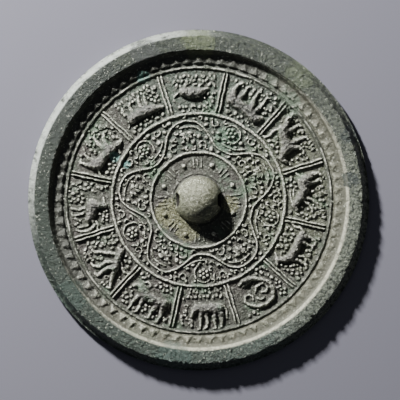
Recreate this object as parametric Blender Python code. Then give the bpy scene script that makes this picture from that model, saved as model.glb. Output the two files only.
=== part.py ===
"""Ancient bronze mirror with a vine and twelve animals, cast in one piece.

The mirror lies on its polished face with the decorated back up. The origin is the middle of the
underside, +Z is the disc's axis and +X runs along the cord hole of the knob. Lengths are in metres.
The back is one skin of heights: every bend is drawn from above, and each corner of the drawing
is then raised to the height of the highest form that covers it.
"""
import math

import bmesh
import bpy
import numpy as np
from mathutils import Vector
from mathutils.geometry import delaunay_2d_cdt

MM = 0.001

# Widths of the back's rings, from the centre outwards
KNOB_RADIUS = 11.5 * MM
KNOB_MOAT_WIDTH = 0.7 * MM
KNOB_RIDGE_WIDTH = 1.2 * MM
STROKE_RING_WIDTH = 8.9 * MM
INNER_LINE_WIDTH = 1.6 * MM
VINE_BAND_WIDTH = 17.1 * MM
MIDDLE_LINE_WIDTH = 1.8 * MM
ANIMAL_BAND_WIDTH = 20.4 * MM
OUTER_LINE_WIDTH = 1.8 * MM
STEP_WIDTH = 1.2 * MM
TOOTH_BAND_WIDTH = 4.2 * MM
INNER_WALL_RUN = 2.1 * MM
RIM_TOP_WIDTH = 6.6 * MM
OUTER_WALL_RUN = 3.4 * MM

# Heights, the first above the table and the others above the ground of the back
PLATE_THICKNESS = 3.0 * MM
KNOB_HEIGHT = 10.5 * MM
KNOB_RIDGE_HEIGHT = 0.35 * MM
INNER_LINE_HEIGHT = 1.0 * MM
MIDDLE_LINE_HEIGHT = 1.1 * MM
OUTER_LINE_HEIGHT = 0.9 * MM
STEP_HEIGHT = 0.6 * MM
TOOTH_BAND_RISE = 0.8 * MM
TOOTH_HEIGHT = 0.7 * MM
RIM_HEIGHT = 4.4 * MM

# The polished face below: a flat middle and a gentle swell up to the edge
FACE_SWELL_WIDTH = 42.5 * MM
FACE_SWELL_HEIGHT = 0.8 * MM
EDGE_THICKNESS = 0.8 * MM

# The cord hole through the knob
HOLE_WIDTH = 6.4 * MM
HOLE_HEIGHT = 5.6 * MM
HOLE_SILL = 0.2 * MM
HOLE_ROUNDNESS = 3.0

# Twelve panels with a pair of bars between each two
ANIMAL_COUNT = 12
FIRST_BAR_ANGLE = 17.8
BAR_SPACING = 1.7 * MM
BAR_WIDTH = 1.1 * MM
BAR_HEIGHT = 0.8 * MM

# Relief of the figures and what fills the corners beside them
FIGURE_SPAN = 22.0 * MM
FIGURE_HEIGHT = 2.0 * MM
FILLING_HEIGHT = 1.1 * MM
STEEPEST_RISE = 1.5
TUFT_RADIUS = 1.0 * MM
TUFT_SPACING = 3.1 * MM
LEAF_LENGTH = 2.4 * MM
LEAF_WIDTH = 1.7 * MM
LEAF_LEAN = 40.0
ROW_SWAY = 1.7
LEAF_SWAY = 2.9
FILLING_CLEARANCE = 0.15 * MM

# The vine, its grapes and its leaves. The stem was laid out by eye, so its swings come late by
# some degrees, most of all at one angle.
VINE_WAVES = 5
FIRST_WAVE_ANGLE = 22.8
WAVE_DELAY = 2.0
WAVE_DELAY_SWING = 4.0
LATEST_ANGLE = 120.0
BEND_ROUNDNESS = 0.3
VINE_SWING = 6.2 * MM
VINE_STEM_WIDTH = 1.7 * MM
VINE_HEIGHT = 1.2 * MM
GRAPE_RADIUS = 1.05 * MM
GRAPE_SPACING = 2.0 * MM
GRAPES_ROUND_ONE = 6
BUNCH_OFFSET = 3.2 * MM
CURL_RADIUS = 4.9 * MM
CURL_TIP_RADIUS = 3.6 * MM
CURL_WIDTH = 1.1 * MM
CURL_START = -140.0
CURL_SWEEP = 230.0
VINE_LEAF_LENGTH = 4.6 * MM
VINE_LEAF_WIDTH = 2.6 * MM
VINE_LEAF_ROOT = 1.8 * MM
FINGER_ANGLE = 72.0
SIDE_FINGER = 0.85

# Dots of the innermost ring, with a row of short strokes between each two
DOT_COUNT = 8
FIRST_DOT_ANGLE = 24.0
DOT_RADIUS = 1.25 * MM
DOT_HEIGHT = 0.8 * MM
STROKES_IN_A_ROW = 3
STROKE_SPACING = 1.9 * MM
STROKE_WIDTH = 0.8 * MM
STROKE_HEIGHT = 0.4 * MM
LONG_STROKE = 5.2 * MM
SHORT_STROKE = 3.4 * MM

# Saw teeth at the foot of the rim, and how finely the round forms are cut
TOOTH_COUNT = 76
LINE_FACETS = 64
KNOB_FACETS = 24
LEAST_LINE_FACETS = 34
KNOB_TIERS = 4
SWELL_TIERS = 2
VINE_FACETS_PER_WAVE = 10
CURL_FACETS = 7
BLOB_SIDES = 5
ARCH_FACETS = 12
SHOULDER = 0.6
LEAST_SHOULDERED = 1.2 * MM
SHARP_ANGLE = 35.0

# The limbs of each animal, clockwise from the rat at the top. A limb is a chain of discs: place
# across and up the panel and half width, in hundredths of the figure's span.
FIGURES = {
    "rat": [
        [(23, 1, 9), (8, 5, 12), (-8, 5, 11), (-20, 1, 8), (-32, -3, 4)],
        [(-16, 8, 3.6), (-18, 14, 2.8)],
        [(-12, -4, 4.5), (-15, -12, 3.4), (-20, -14, 2.8)],
        [(0, -4, 4.5), (-2, -12, 3.4), (-7, -14, 2.8)],
        [(19, -4, 6), (18, -12, 4), (12, -14, 3)],
        [(30, 0, 3), (38, 6, 2.4), (43, 14, 2.2), (44, 23, 1.8)],
    ],
    "ox": [
        [(36, 10, 12), (14, 13, 12), (-11, 17, 13.5), (-27, 25, 9.5), (-40, 17, 4.8)],
        [(-25, 31, 3), (-31, 40, 2.6), (-38, 42, 2)],
        [(-23, 5, 6), (-30, -14, 4.2), (-32, -28, 3.2), (-37, -30, 2.8)],
        [(-10, 4, 7), (-7, -15, 4.6), (-9, -31, 3.4), (-14, -33, 3)],
        [(23, -1, 7), (17, -17, 4.4), (18, -30, 3.4), (13, -32, 3)],
        [(38, 0, 9), (41, -14, 5.6), (35, -31, 3.6), (30, -33, 3)],
        [(46, 13, 2.4), (51, 2, 2.2), (49, -9, 2.8)],
    ],
    "tiger": [
        [(28, 2, 12), (9, 8, 10.5), (-8, 13, 12.5), (-14, 28, 8.5), (-22, 37, 7), (-33, 34, 4.4)],
        [(-18, 43, 3), (-14, 47, 2.2)],
        [(-13, 4, 7), (-23, -7, 4.6), (-34, -11, 3.4), (-39, -8, 3)],
        [(-6, 1, 7), (-8, -17, 4.6), (-12, -32, 3.4), (-18, -34, 3)],
        [(21, -4, 7), (17, -21, 4.6), (20, -34, 3.4), (14, -36, 3)],
        [(29, -3, 9.5), (41, -20, 5.4), (48, -36, 3.6), (43, -39, 3)],
        [(36, 7, 4), (39, 19, 3.6), (34, 31, 3.4), (36, 42, 3), (43, 47, 2.4)],
    ],
    "hare": [
        [(31, 9, 12.5), (10, 7, 10), (-6, 18, 9.5), (-21, 30, 7.5), (-32, 26, 4.2)],
        [(-17, 35, 3.2), (-4, 39, 3), (10, 39, 2.2)],
        [(-14, 30, 3), (0, 32, 2.8), (14, 30, 2.2)],
        [(-9, 12, 5.6), (-21, -1, 3.8), (-33, -8, 3), (-39, -7, 2.6)],
        [(-3, 8, 5.6), (-12, -9, 3.8), (-21, -20, 3), (-27, -20, 2.6)],
        [(26, 1, 8), (26, -15, 4.8), (33, -28, 3.4), (27, -31, 3)],
        [(35, 4, 10), (44, -12, 5.8), (47, -27, 3.6), (41, -31, 3)],
        [(43, 17, 3.4), (48, 23, 2.6)],
    ],
    "dragon": [
        [(38, 4, 7.5), (21, 4, 9), (0, 2, 9.5), (-18, 3, 8.5), (-29, 13, 6.5), (-37, 26, 6.2),
         (-48, 22, 3.6)],
        [(-34, 31, 2.6), (-26, 38, 2)],
        [(-27, 23, 2.8), (-19, 27, 2)],
        [(-20, -5, 6.4), (-17, -22, 4.4), (-20, -37, 3.4), (-26, -38, 2.8)],
        [(-12, -5, 6), (-5, -19, 4), (-9, -30, 3.2), (-15, -31, 2.6)],
        [(24, -4, 6), (21, -17, 4), (25, -29, 3.2), (19, -31, 2.6)],
        [(35, -3, 6.8), (40, -16, 4.4), (35, -31, 3.4), (29, -32, 2.8)],
        [(44, 6, 4.2), (49, 15, 3.4), (45, 25, 2.8), (48, 33, 2)],
    ],
    "snake": [
        [(-18, -9, 2), (-14, -1, 2.4), (-20, 6, 2.6), (-31, 5, 3), (-35, -5, 3.4), (-29, -18, 4),
         (-15, -28, 4.4), (3, -33, 4.8), (21, -28, 5), (32, -14, 5.2), (33, 2, 5.2),
         (25, 18, 5), (12, 29, 5), (0, 35, 6), (-14, 36, 7), (-27, 34, 3)],
        [(-8, 31, 5), (-18, 28, 4), (-26, 26, 2)],
        [(-5, 3, 2.8), (3, 11, 3.2), (14, 13, 3.6), (23, 8, 3.6), (24, -3, 3.4), (15, -9, 3),
         (7, -5, 2.6)],
        [(-8, -10, 2.4), (-3, -17, 2.4), (6, -18, 2)],
    ],
    "horse": [
        [(32, 1, 12.5), (14, 3, 11), (-3, 2, 12), (-14, 5, 8.5), (-23, -3, 6), (-29, -14, 3.4)],
        [(-17, 12, 3), (-20, 18, 2)],
        [(-7, -8, 6.4), (-9, -26, 4.2), (-10, -42, 3.2), (-16, -44, 2.8)],
        [(4, -8, 6), (7, -25, 4.2), (4, -40, 3.2), (-2, -42, 2.8)],
        [(24, -10, 7), (22, -27, 4.4), (24, -41, 3.2), (18, -43, 2.8)],
        [(36, -10, 7.4), (38, -27, 4.6), (37, -42, 3.4), (31, -44, 3)],
        [(44, 6, 3.2), (49, -6, 3.2), (48, -21, 2.6)],
    ],
    "sheep": [
        [(35, 2, 11.5), (12, 2, 11), (-13, 3, 12), (-24, 14, 8.5), (-31, 15, 6.5), (-40, 9, 4)],
        [(-24, 20, 3), (-17, 29, 3), (-8, 27, 2.8), (-9, 19, 2.4), (-15, 18, 2)],
        [(-22, -8, 6), (-27, -25, 4), (-28, -42, 3.2), (-34, -44, 2.8)],
        [(-10, -8, 6), (-8, -25, 4), (-11, -43, 3.2), (-17, -44, 2.8)],
        [(22, -8, 6.6), (20, -25, 4.2), (19, -40, 3.2), (13, -42, 2.8)],
        [(38, -8, 7), (42, -24, 4.4), (41, -40, 3.2), (35, -42, 2.8)],
        [(46, 8, 3.6), (49, -1, 2.8)],
    ],
    "monkey": [
        [(26, 6, 8), (17, 17, 8.5), (8, 27, 8), (2, 37, 7), (-5, 35, 4.6)],
        [(4, 25, 5), (-8, 14, 4.6), (-18, 1, 4.2), (-28, -13, 3.4), (-35, -15, 2.8)],
        [(17, 24, 4.8), (32, 19, 4.2), (46, 17, 3.4), (52, 23, 2.8)],
        [(13, 9, 5), (3, -5, 4.8), (5, -20, 4.2), (-3, -31, 3.4), (-10, -32, 2.8)],
        [(24, 3, 7.6), (18, -8, 5.8), (17, -22, 4.6), (19, -35, 3.6), (12, -38, 3)],
        [(29, 3, 7), (38, -9, 5.2), (48, -20, 4.2), (57, -27, 3.4), (52, -33, 2.8)],
    ],
    "rooster": [
        [(31, -2, 8), (15, 4, 12), (-1, 7, 13), (0, 22, 8.6), (1, 34, 6.4), (-16, 32, 2)],
        [(-2, 41, 2.8), (4, 44, 2.4), (8, 40, 2)],
        [(33, 5, 4.6), (46, 8, 4.4), (55, -3, 4), (57, -19, 3.2), (54, -32, 2.2)],
        [(33, -3, 4), (43, -5, 3.6), (48, -15, 3.2), (47, -28, 2.4)],
        [(34, 9, 3.8), (45, 18, 3.4), (55, 15, 2.6)],
        [(5, -10, 5.2), (9, -25, 3.2), (6, -40, 2.8), (-2, -43, 2.4)],
        [(15, -10, 4.8), (20, -23, 3), (22, -37, 2.6), (14, -39, 2.2)],
    ],
    "dog": [
        [(34, 9, 10.5), (12, 12, 9.6), (-9, 15, 11.8), (-18, 23, 8.2), (-27, 27, 6.6),
         (-41, 29, 3.6)],
        [(-22, 32, 3.4), (-13, 40, 2.6)],
        [(-14, 5, 6.6), (-24, -7, 4.4), (-36, -12, 3.2), (-42, -10, 2.8)],
        [(-6, 4, 6.6), (-9, -12, 4.4), (-16, -26, 3.2), (-22, -27, 2.8)],
        [(29, 1, 7.6), (30, -14, 4.6), (26, -28, 3.2), (20, -30, 2.8)],
        [(38, 2, 8.6), (44, -13, 5), (46, -28, 3.4), (40, -31, 3)],
        [(44, 16, 3.4), (51, 24, 3), (49, 33, 2.4)],
    ],
    "boar": [
        [(28, 12, 10.5), (7, 11, 11.5), (-15, 14, 12), (-31, 21, 7.8), (-44, 25, 4.4)],
        [(-25, 28, 3.2), (-20, 34, 2.4)],
        [(-16, 3, 6), (-21, -12, 4.2), (-26, -20, 3.2)],
        [(-5, 1, 6), (-6, -14, 4.2), (-11, -22, 3.2)],
        [(20, 3, 6.4), (17, -12, 4.4), (13, -20, 3.2)],
        [(31, 4, 6.8), (36, -10, 4.4), (32, -20, 3.2)],
        [(37, 18, 2.6), (43, 24, 2.2)],
    ],
}

# Where leaves and tufts grow beside each animal: the middle of a patch and its half extents
# across and up, in the same hundredths
LEAVES = {
    "rat": [(0, -28, 46, 11)],
    "ox": [(4, -40, 44, 9)],
    "tiger": [(-4, -43, 44, 7)],
    "hare": [(-42, 0, 10, 40), (2, -40, 46, 9)],
    "dragon": [(4, -42, 44, 7)],
    "snake": [],
    "horse": [(0, 33, 44, 13), (-40, -28, 10, 18)],
    "sheep": [(46, -28, 6, 18)],
    "monkey": [(-40, 10, 11, 34), (-26, -40, 20, 8)],
    "rooster": [(-40, 0, 9, 44), (36, -41, 18, 8)],
    "dog": [(-43, -6, 9, 38), (2, -41, 46, 8)],
    "boar": [(0, -36, 46, 13)],
}
TUFTS = {
    "rat": [(16, 39, 38, 9), (-40, 24, 10, 20)],
    "ox": [(-2, 41, 46, 9), (-42, -6, 10, 40), (44, 30, 9, 14)],
    "tiger": [(4, 38, 30, 12), (-43, 16, 9, 30)],
    "hare": [(33, 34, 15, 12)],
    "dragon": [(12, 31, 38, 15), (-44, -10, 7, 28)],
    "snake": [(26, 38, 24, 9), (46, 0, 6, 38), (-32, -39, 14, 8)],
    "horse": [(-44, 4, 8, 22)],
    "sheep": [(-44, -4, 7, 42), (26, 36, 22, 10), (-30, 38, 12, 9)],
    "monkey": [(30, 38, 18, 10), (44, 0, 9, 12)],
    "rooster": [(32, 36, 20, 12), (-20, -30, 10, 16)],
    "dog": [(26, 39, 24, 9)],
    "boar": [(4, 38, 44, 11), (-44, -2, 7, 22)],
}

# Radii that follow from the widths
MOAT_END = KNOB_RADIUS + KNOB_MOAT_WIDTH
STROKE_RING_START = MOAT_END + KNOB_RIDGE_WIDTH
INNER_LINE_START = STROKE_RING_START + STROKE_RING_WIDTH
VINE_BAND_START = INNER_LINE_START + INNER_LINE_WIDTH
MIDDLE_LINE_START = VINE_BAND_START + VINE_BAND_WIDTH
ANIMAL_BAND_START = MIDDLE_LINE_START + MIDDLE_LINE_WIDTH
OUTER_LINE_START = ANIMAL_BAND_START + ANIMAL_BAND_WIDTH
STEP_START = OUTER_LINE_START + OUTER_LINE_WIDTH
TOOTH_BAND_START = STEP_START + STEP_WIDTH
INNER_WALL_START = TOOTH_BAND_START + TOOTH_BAND_WIDTH
RIM_TOP_START = INNER_WALL_START + INNER_WALL_RUN
OUTER_WALL_START = RIM_TOP_START + RIM_TOP_WIDTH
MIRROR_RADIUS = OUTER_WALL_START + OUTER_WALL_RUN
STROKE_RING_MIDDLE = STROKE_RING_START + STROKE_RING_WIDTH / 2
VINE_BAND_MIDDLE = VINE_BAND_START + VINE_BAND_WIDTH / 2
ANIMAL_BAND_MIDDLE = ANIMAL_BAND_START + ANIMAL_BAND_WIDTH / 2
BAND_FOOT = PLATE_THICKNESS + STEP_HEIGHT
BAND_HEAD = BAND_FOOT + TOOTH_BAND_RISE
EDGE_TOP = FACE_SWELL_HEIGHT + EDGE_THICKNESS
SECTOR = 360.0 / ANIMAL_COUNT
PANEL_HALF_ANGLE = SECTOR / 2
HUNDREDTH = FIGURE_SPAN / 100

# Corners that the drawing joins when they fall this close together
MERGE_DISTANCE = 0.02 * MM


def polar(radius, degrees):
    """Place on the plan at this radius and angle."""
    turn = math.radians(degrees)
    return (radius * math.cos(turn), radius * math.sin(turn))


def line_bends(start, width, height):
    """The crest and the outer foot of a raised ring line."""
    return [(start + width / 2, PLATE_THICKNESS + height), (start + width, PLATE_THICKNESS)]


def back_bends():
    """Radius and height of each bend of the turned back, from the knob's foot to the edge."""
    ground = PLATE_THICKNESS
    bends = [(KNOB_RADIUS, ground), (MOAT_END, ground)]
    bends += line_bends(MOAT_END, KNOB_RIDGE_WIDTH, KNOB_RIDGE_HEIGHT)
    bends += [(INNER_LINE_START, ground)]
    bends += line_bends(INNER_LINE_START, INNER_LINE_WIDTH, INNER_LINE_HEIGHT)
    bends += [(MIDDLE_LINE_START, ground)]
    bends += line_bends(MIDDLE_LINE_START, MIDDLE_LINE_WIDTH, MIDDLE_LINE_HEIGHT)
    bends += [(OUTER_LINE_START, ground)]
    bends += line_bends(OUTER_LINE_START, OUTER_LINE_WIDTH, OUTER_LINE_HEIGHT)
    bends += [(TOOTH_BAND_START, BAND_FOOT), (INNER_WALL_START, BAND_HEAD)]
    bends += [(RIM_TOP_START, ground + RIM_HEIGHT), (OUTER_WALL_START, ground + RIM_HEIGHT)]
    bends += [(MIRROR_RADIUS, EDGE_TOP)]
    return bends


class Form:
    """A raised form with a rounded back: a chain of discs, each given as x, y and half width."""

    def __init__(self, spine, height):
        self.spine = np.array(spine, dtype=float)
        self.height = height

    def crest(self, half_width):
        """A narrow form stays lower than a broad one, so that its flanks keep their slope."""
        return np.minimum(self.height, STEEPEST_RISE * half_width)

    def links(self, places):
        """For each link of the chain, how far the places lie from it and its half width there."""
        pairs = list(zip(self.spine[:-1], self.spine[1:])) or [(self.spine[0], self.spine[0])]
        for start, end in pairs:
            run = end[:2] - start[:2]
            along = (places - start[:2]) @ run / max(run @ run, MERGE_DISTANCE ** 2)
            along = np.clip(along, 0.0, 1.0)
            away = np.linalg.norm(places - start[:2] - along[:, None] * run, axis=1)
            yield away, start[2] + (end[2] - start[2]) * along

    def rise(self, places):
        """How far the form stands above the ground at each of the places."""
        best = np.zeros(len(places))
        for away, half_width in self.links(places):
            roundness = np.sqrt(np.clip(1.0 - (away / half_width) ** 2, 0.0, 1.0))
            best = np.maximum(best, self.crest(half_width) * roundness)
        return best

    def gap(self, places):
        """How far each of the places lies outside the form. Inside it the number is negative."""
        return np.min([away - half_width for away, half_width in self.links(places)], axis=0)

    def headings(self):
        """Unit direction of the chain at each of its discs."""
        centres = self.spine[:, :2]
        ahead = np.vstack([centres[1:], centres[-1:]])
        behind = np.vstack([centres[:1], centres[:-1]])
        runs = ahead - behind
        return runs / np.maximum(np.linalg.norm(runs, axis=1), MERGE_DISTANCE)[:, None]

    def side(self, share):
        """The line that runs beside the chain at a share of its half width."""
        heading = self.headings()
        across = np.stack([-heading[:, 1], heading[:, 0]], axis=1)
        return self.spine[:, :2] + across * self.spine[:, 2:] * share

    def cap(self, end, heading):
        """The round end of the outline, from its left side to its right: one corner if narrow."""
        half_width = self.spine[end, 2]
        turns = (45, 0, -45) if half_width > LEAST_SHOULDERED else (0,)
        aim = math.degrees(math.atan2(heading[1], heading[0]))
        return [self.spine[end, :2] + polar(half_width, aim + turn) for turn in turns]

    def draw(self, plan):
        """Draw the form's outline, its crest and, on a broad form, its shoulders."""
        centres = self.spine[:, :2]
        if len(centres) == 1:
            rays = [polar(self.spine[0, 2], 360.0 * k / BLOB_SIDES) for k in range(BLOB_SIDES)]
            plan.line(centres[0] + np.array(rays), closed=True)
            plan.line(centres)
            return
        heading = self.headings()
        outline = list(self.side(1.0)) + self.cap(-1, heading[-1])
        outline += list(self.side(-1.0))[::-1] + self.cap(0, -heading[0])
        plan.line(outline, closed=True)
        plan.line(centres)
        if self.spine[:, 2].min() > LEAST_SHOULDERED:
            plan.line(self.side(SHOULDER))
            plan.line(self.side(-SHOULDER))


class Plan:
    """The drawing of the back from above: its corners, and the edges that its faces follow."""

    def __init__(self):
        self.corners = []
        self.edges = []

    def line(self, places, closed=False):
        """Draw a line through the places, and back to the first one if it is closed."""
        first = len(self.corners)
        self.corners += [Vector((float(x), float(y))) for x, y in places]
        count = len(self.corners) - first
        self.edges += [(first + k, first + k + 1) for k in range(count - 1)]
        if closed:
            self.edges.append((first + count - 1, first))

    def ring(self, radius, facets, offset=0.0):
        """Draw a circle as a closed line."""
        step = 360.0 / facets
        self.line([polar(radius, (k + offset) * step) for k in range(facets)], closed=True)

    def faces(self):
        """The corners and triangles of the finished drawing."""
        found = delaunay_2d_cdt(self.corners, self.edges, [], 0, MERGE_DISTANCE)
        return np.array([tuple(corner) for corner in found[0]]), found[2]


def blade(root, heading, length, width):
    """A leaf or a leaf's finger: it sets out from its root and tapers to half its width."""
    x, y = polar(length, heading)
    return [(*root, width / 2), (root[0] + x, root[1] + y, width / 4)]


def panel_angle(index):
    """Direction of the middle of a panel: the rat's is at the top, and they run clockwise."""
    return FIRST_BAR_ANGLE + SECTOR * (2 - index) + PANEL_HALF_ANGLE


def in_panel(angle, across, up):
    """Place on the plan of a point in a panel whose feet point to the rim, in metres."""
    turn = math.radians(angle)
    outward = (math.cos(turn), math.sin(turn))
    radius = ANIMAL_BAND_MIDDLE - up
    return (radius * outward[0] - across * outward[1], radius * outward[1] + across * outward[0])


def panel_figure(index, limbs):
    """The forms of one animal, set upright in its panel."""
    angle = panel_angle(index)
    forms = []
    for limb in limbs:
        spine = [(*in_panel(angle, across * HUNDREDTH, up * HUNDREDTH), half * HUNDREDTH)
                 for across, up, half in limb]
        forms.append(Form(spine, FIGURE_HEIGHT))
    return forms


def spots_in(patch):
    """Evenly spread places of a patch, and a number from -1 to 1 that sways from one to the next."""
    across, up, half_across, half_up = patch
    spacing = TUFT_SPACING / HUNDREDTH
    columns = max(1, round(2 * half_across / spacing))
    rows = max(1, round(2 * half_up / spacing))
    for row in range(rows):
        for k in range(columns):
            sway = math.sin(across + row * ROW_SWAY + k * LEAF_SWAY)
            yield (across + half_across * ((2 * k + 1) / columns - 1),
                   up + half_up * ((2 * row + 1) / rows - 1), sway)


def panel_filling(index, name, others):
    """Leaves and tufts in their patches, wherever the animal and the bars leave room."""
    angle = panel_angle(index)
    forms = []
    for patch in LEAVES[name]:
        for across, up, sway in spots_in(patch):
            base = in_panel(angle, across * HUNDREDTH, up * HUNDREDTH)
            leaf = blade(base, angle + 180 + LEAF_LEAN * sway, LEAF_LENGTH, LEAF_WIDTH)
            forms.append(Form(leaf, FILLING_HEIGHT))
    for patch in TUFTS[name]:
        for across, up, _ in spots_in(patch):
            place = in_panel(angle, across * HUNDREDTH, up * HUNDREDTH)
            forms.append(Form([(*place, TUFT_RADIUS)], FILLING_HEIGHT))
    return [form for form in forms if is_clear(form, others)]


def is_clear(form, others):
    """Whether a form keeps its distance from the others and from the ring lines."""
    centres, half_widths = form.spine[:, :2], form.spine[:, 2]
    radius = np.hypot(centres[:, 0], centres[:, 1])
    inside = np.minimum(radius - ANIMAL_BAND_START, OUTER_LINE_START - radius)
    room = np.min([inside] + [other.gap(centres) for other in others], axis=0)
    return (room - half_widths).min() > FILLING_CLEARANCE


def bars():
    """Pairs of straight bars between the panels."""
    forms = []
    half = BAR_WIDTH / 2
    inner = ANIMAL_BAND_START + half
    outer = OUTER_LINE_START - half
    for k in range(ANIMAL_COUNT):
        turn = math.radians(FIRST_BAR_ANGLE + SECTOR * k)
        for side in (-1, 1):
            shift = side * BAR_SPACING / 2
            spine = []
            for radius in (inner, outer):
                x = radius * math.cos(turn) - shift * math.sin(turn)
                y = radius * math.sin(turn) + shift * math.cos(turn)
                spine.append((x, y, half))
            forms.append(Form(spine, BAR_HEIGHT))
    return forms


def wave_delay(degrees):
    """How many degrees late the stem's swing comes at this angle."""
    return WAVE_DELAY + WAVE_DELAY_SWING * math.cos(math.radians(degrees - LATEST_ANGLE))


def vine_radius(degrees):
    """How far out the waving stem runs at this angle. Its bends are rounder than a plain wave's."""
    phase = VINE_WAVES * (degrees - FIRST_WAVE_ANGLE - wave_delay(degrees))
    wave = math.cos(math.radians(phase))
    return VINE_BAND_MIDDLE + VINE_SWING * wave * (1.0 + BEND_ROUNDNESS * (1.0 - wave * wave))


def vine():
    """The stem, and in its hollows grapes towards the rim and leaves towards the knob."""
    forms = []
    steps = VINE_WAVES * VINE_FACETS_PER_WAVE
    half = VINE_STEM_WIDTH / 2
    stem = []
    for k in range(steps + 1):
        degrees = FIRST_WAVE_ANGLE + 360.0 * k / steps
        stem.append((*polar(vine_radius(degrees), degrees), half))
    forms.append(Form(stem, VINE_HEIGHT))
    wave = 360.0 / VINE_WAVES
    for k in range(VINE_WAVES):
        crest = FIRST_WAVE_ANGLE + wave * k
        hollow = crest + wave / 2
        forms += grapes(hollow + wave_delay(hollow))
        forms += vine_leaf(crest + wave_delay(crest))
    return forms


def grapes(degrees):
    """A bunch of grapes in a hollow of the stem, and the curl that winds round it."""
    middle = polar(VINE_BAND_MIDDLE + BUNCH_OFFSET, degrees)
    forms = [Form([(*middle, GRAPE_RADIUS)], VINE_HEIGHT)]
    for k in range(GRAPES_ROUND_ONE):
        x, y = polar(GRAPE_SPACING, degrees + 360.0 * k / GRAPES_ROUND_ONE)
        forms.append(Form([(middle[0] + x, middle[1] + y, GRAPE_RADIUS)], VINE_HEIGHT))
    curl = []
    for k in range(CURL_FACETS + 1):
        share = k / CURL_FACETS
        radius = CURL_RADIUS + (CURL_TIP_RADIUS - CURL_RADIUS) * share
        x, y = polar(radius, degrees + CURL_START + CURL_SWEEP * share)
        curl.append((middle[0] + x, middle[1] + y, CURL_WIDTH / 2 * (1.0 - share / 2)))
    forms.append(Form(curl, VINE_HEIGHT))
    return forms


def vine_leaf(degrees):
    """A leaf of three broad fingers that hangs from the stem towards the knob."""
    forms = []
    root = polar(VINE_BAND_MIDDLE + VINE_LEAF_ROOT, degrees)
    for finger in range(-1, 2):
        length = VINE_LEAF_LENGTH * (SIDE_FINGER if finger else 1.0)
        turned = degrees + 180 + finger * FINGER_ANGLE
        forms.append(Form(blade(root, turned, length, VINE_LEAF_WIDTH), VINE_HEIGHT))
    return forms


def dots_and_strokes():
    """The innermost ring: dots, with a row of plain radial strokes between each two."""
    forms = []
    step = 360.0 / DOT_COUNT
    for k in range(DOT_COUNT):
        dot = polar(STROKE_RING_MIDDLE, FIRST_DOT_ANGLE + step * k)
        forms.append(Form([(*dot, DOT_RADIUS)], DOT_HEIGHT))
        middle = FIRST_DOT_ANGLE + step * (k + 0.5)
        for n in range(STROKES_IN_A_ROW):
            shift = (n - (STROKES_IN_A_ROW - 1) / 2) * STROKE_SPACING
            turn = middle + math.degrees(shift / STROKE_RING_MIDDLE)
            length = LONG_STROKE if (n + k) % 2 else SHORT_STROKE
            ends = [STROKE_RING_MIDDLE - length / 2, STROKE_RING_MIDDLE + length / 2]
            spine = [(*polar(radius, turn), STROKE_WIDTH / 2) for radius in ends]
            forms.append(Form(spine, STROKE_HEIGHT))
    return forms


def all_forms():
    """Every raised form on the ground of the back."""
    dividers = bars()
    forms = dividers + vine() + dots_and_strokes()
    for index, (name, limbs) in enumerate(FIGURES.items()):
        figure = panel_figure(index, limbs)
        forms += figure + panel_filling(index, name, figure + dividers)
    return forms


def tooth_rise(places):
    """Height of the saw teeth above the sloping band. Each tooth points outwards."""
    radius = np.hypot(places[:, 0], places[:, 1])
    pitch = 2 * math.pi / TOOTH_COUNT
    from_crest = (np.arctan2(places[:, 1], places[:, 0]) / pitch + 0.5) % 1.0 - 0.5
    along = (radius - TOOTH_BAND_START) / TOOTH_BAND_WIDTH
    rise = TOOTH_HEIGHT * (1.0 - along - 2 * np.abs(from_crest))
    reach = MERGE_DISTANCE
    is_on_band = (radius > TOOTH_BAND_START - reach) & (radius < INNER_WALL_START + reach)
    return np.where(is_on_band, np.maximum(rise, 0.0), 0.0)


def height_of(places, forms):
    """Height of the back above the table at each of the places."""
    radius = np.hypot(places[:, 0], places[:, 1])
    bends = back_bends()
    turned = np.interp(radius, [bend[0] for bend in bends], [bend[1] for bend in bends])
    dome = KNOB_HEIGHT * np.sqrt(np.clip(1.0 - (radius / KNOB_RADIUS) ** 2, 0.0, 1.0))
    relief = np.zeros(len(places))
    for form in forms:
        relief = np.maximum(relief, form.rise(places))
    heights = np.where(radius < KNOB_RADIUS, PLATE_THICKNESS + dome, turned + tooth_rise(places))
    return np.maximum(heights, PLATE_THICKNESS + np.where(radius < STEP_START, relief, 0.0))


def draw_back(forms):
    """Draw the whole back from above."""
    plan = Plan()
    for radius, _ in back_bends():
        is_rim = radius > STEP_START
        coarse = TOOTH_COUNT if is_rim else max(LINE_FACETS * radius / STEP_START, LEAST_LINE_FACETS)
        facets = 2 * TOOTH_COUNT if radius == TOOTH_BAND_START else int(coarse)
        if radius == KNOB_RADIUS:
            facets = KNOB_FACETS
        plan.ring(radius, facets)
    for k in range(TOOTH_COUNT):
        turn = 360.0 * k / TOOTH_COUNT
        plan.line([polar(TOOTH_BAND_START, turn), polar(INNER_WALL_START, turn)])
    for tier in range(1, KNOB_TIERS):
        plan.ring(KNOB_RADIUS * math.sin(math.pi / 2 * tier / KNOB_TIERS), KNOB_FACETS)
    plan.line([(0.0, 0.0)])
    for form in forms:
        form.draw(plan)
    return plan


def build_casting():
    """The closed body: the back's skin of heights, the edge and the gently swelling face."""
    forms = all_forms()
    places, triangles = draw_back(forms).faces()
    heights = height_of(places, forms)
    shape = bmesh.new()
    top = [shape.verts.new((x, y, z)) for (x, y), z in zip(places, heights)]
    for corners in triangles:
        shape.faces.new([top[corner] for corner in corners])
    add_face_and_edge(shape, [edge for edge in shape.edges if edge.is_boundary])
    bmesh.ops.recalc_face_normals(shape, faces=shape.faces)
    mesh = bpy.data.meshes.new("mirror")
    shape.to_mesh(mesh)
    shape.free()
    return mesh


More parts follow.
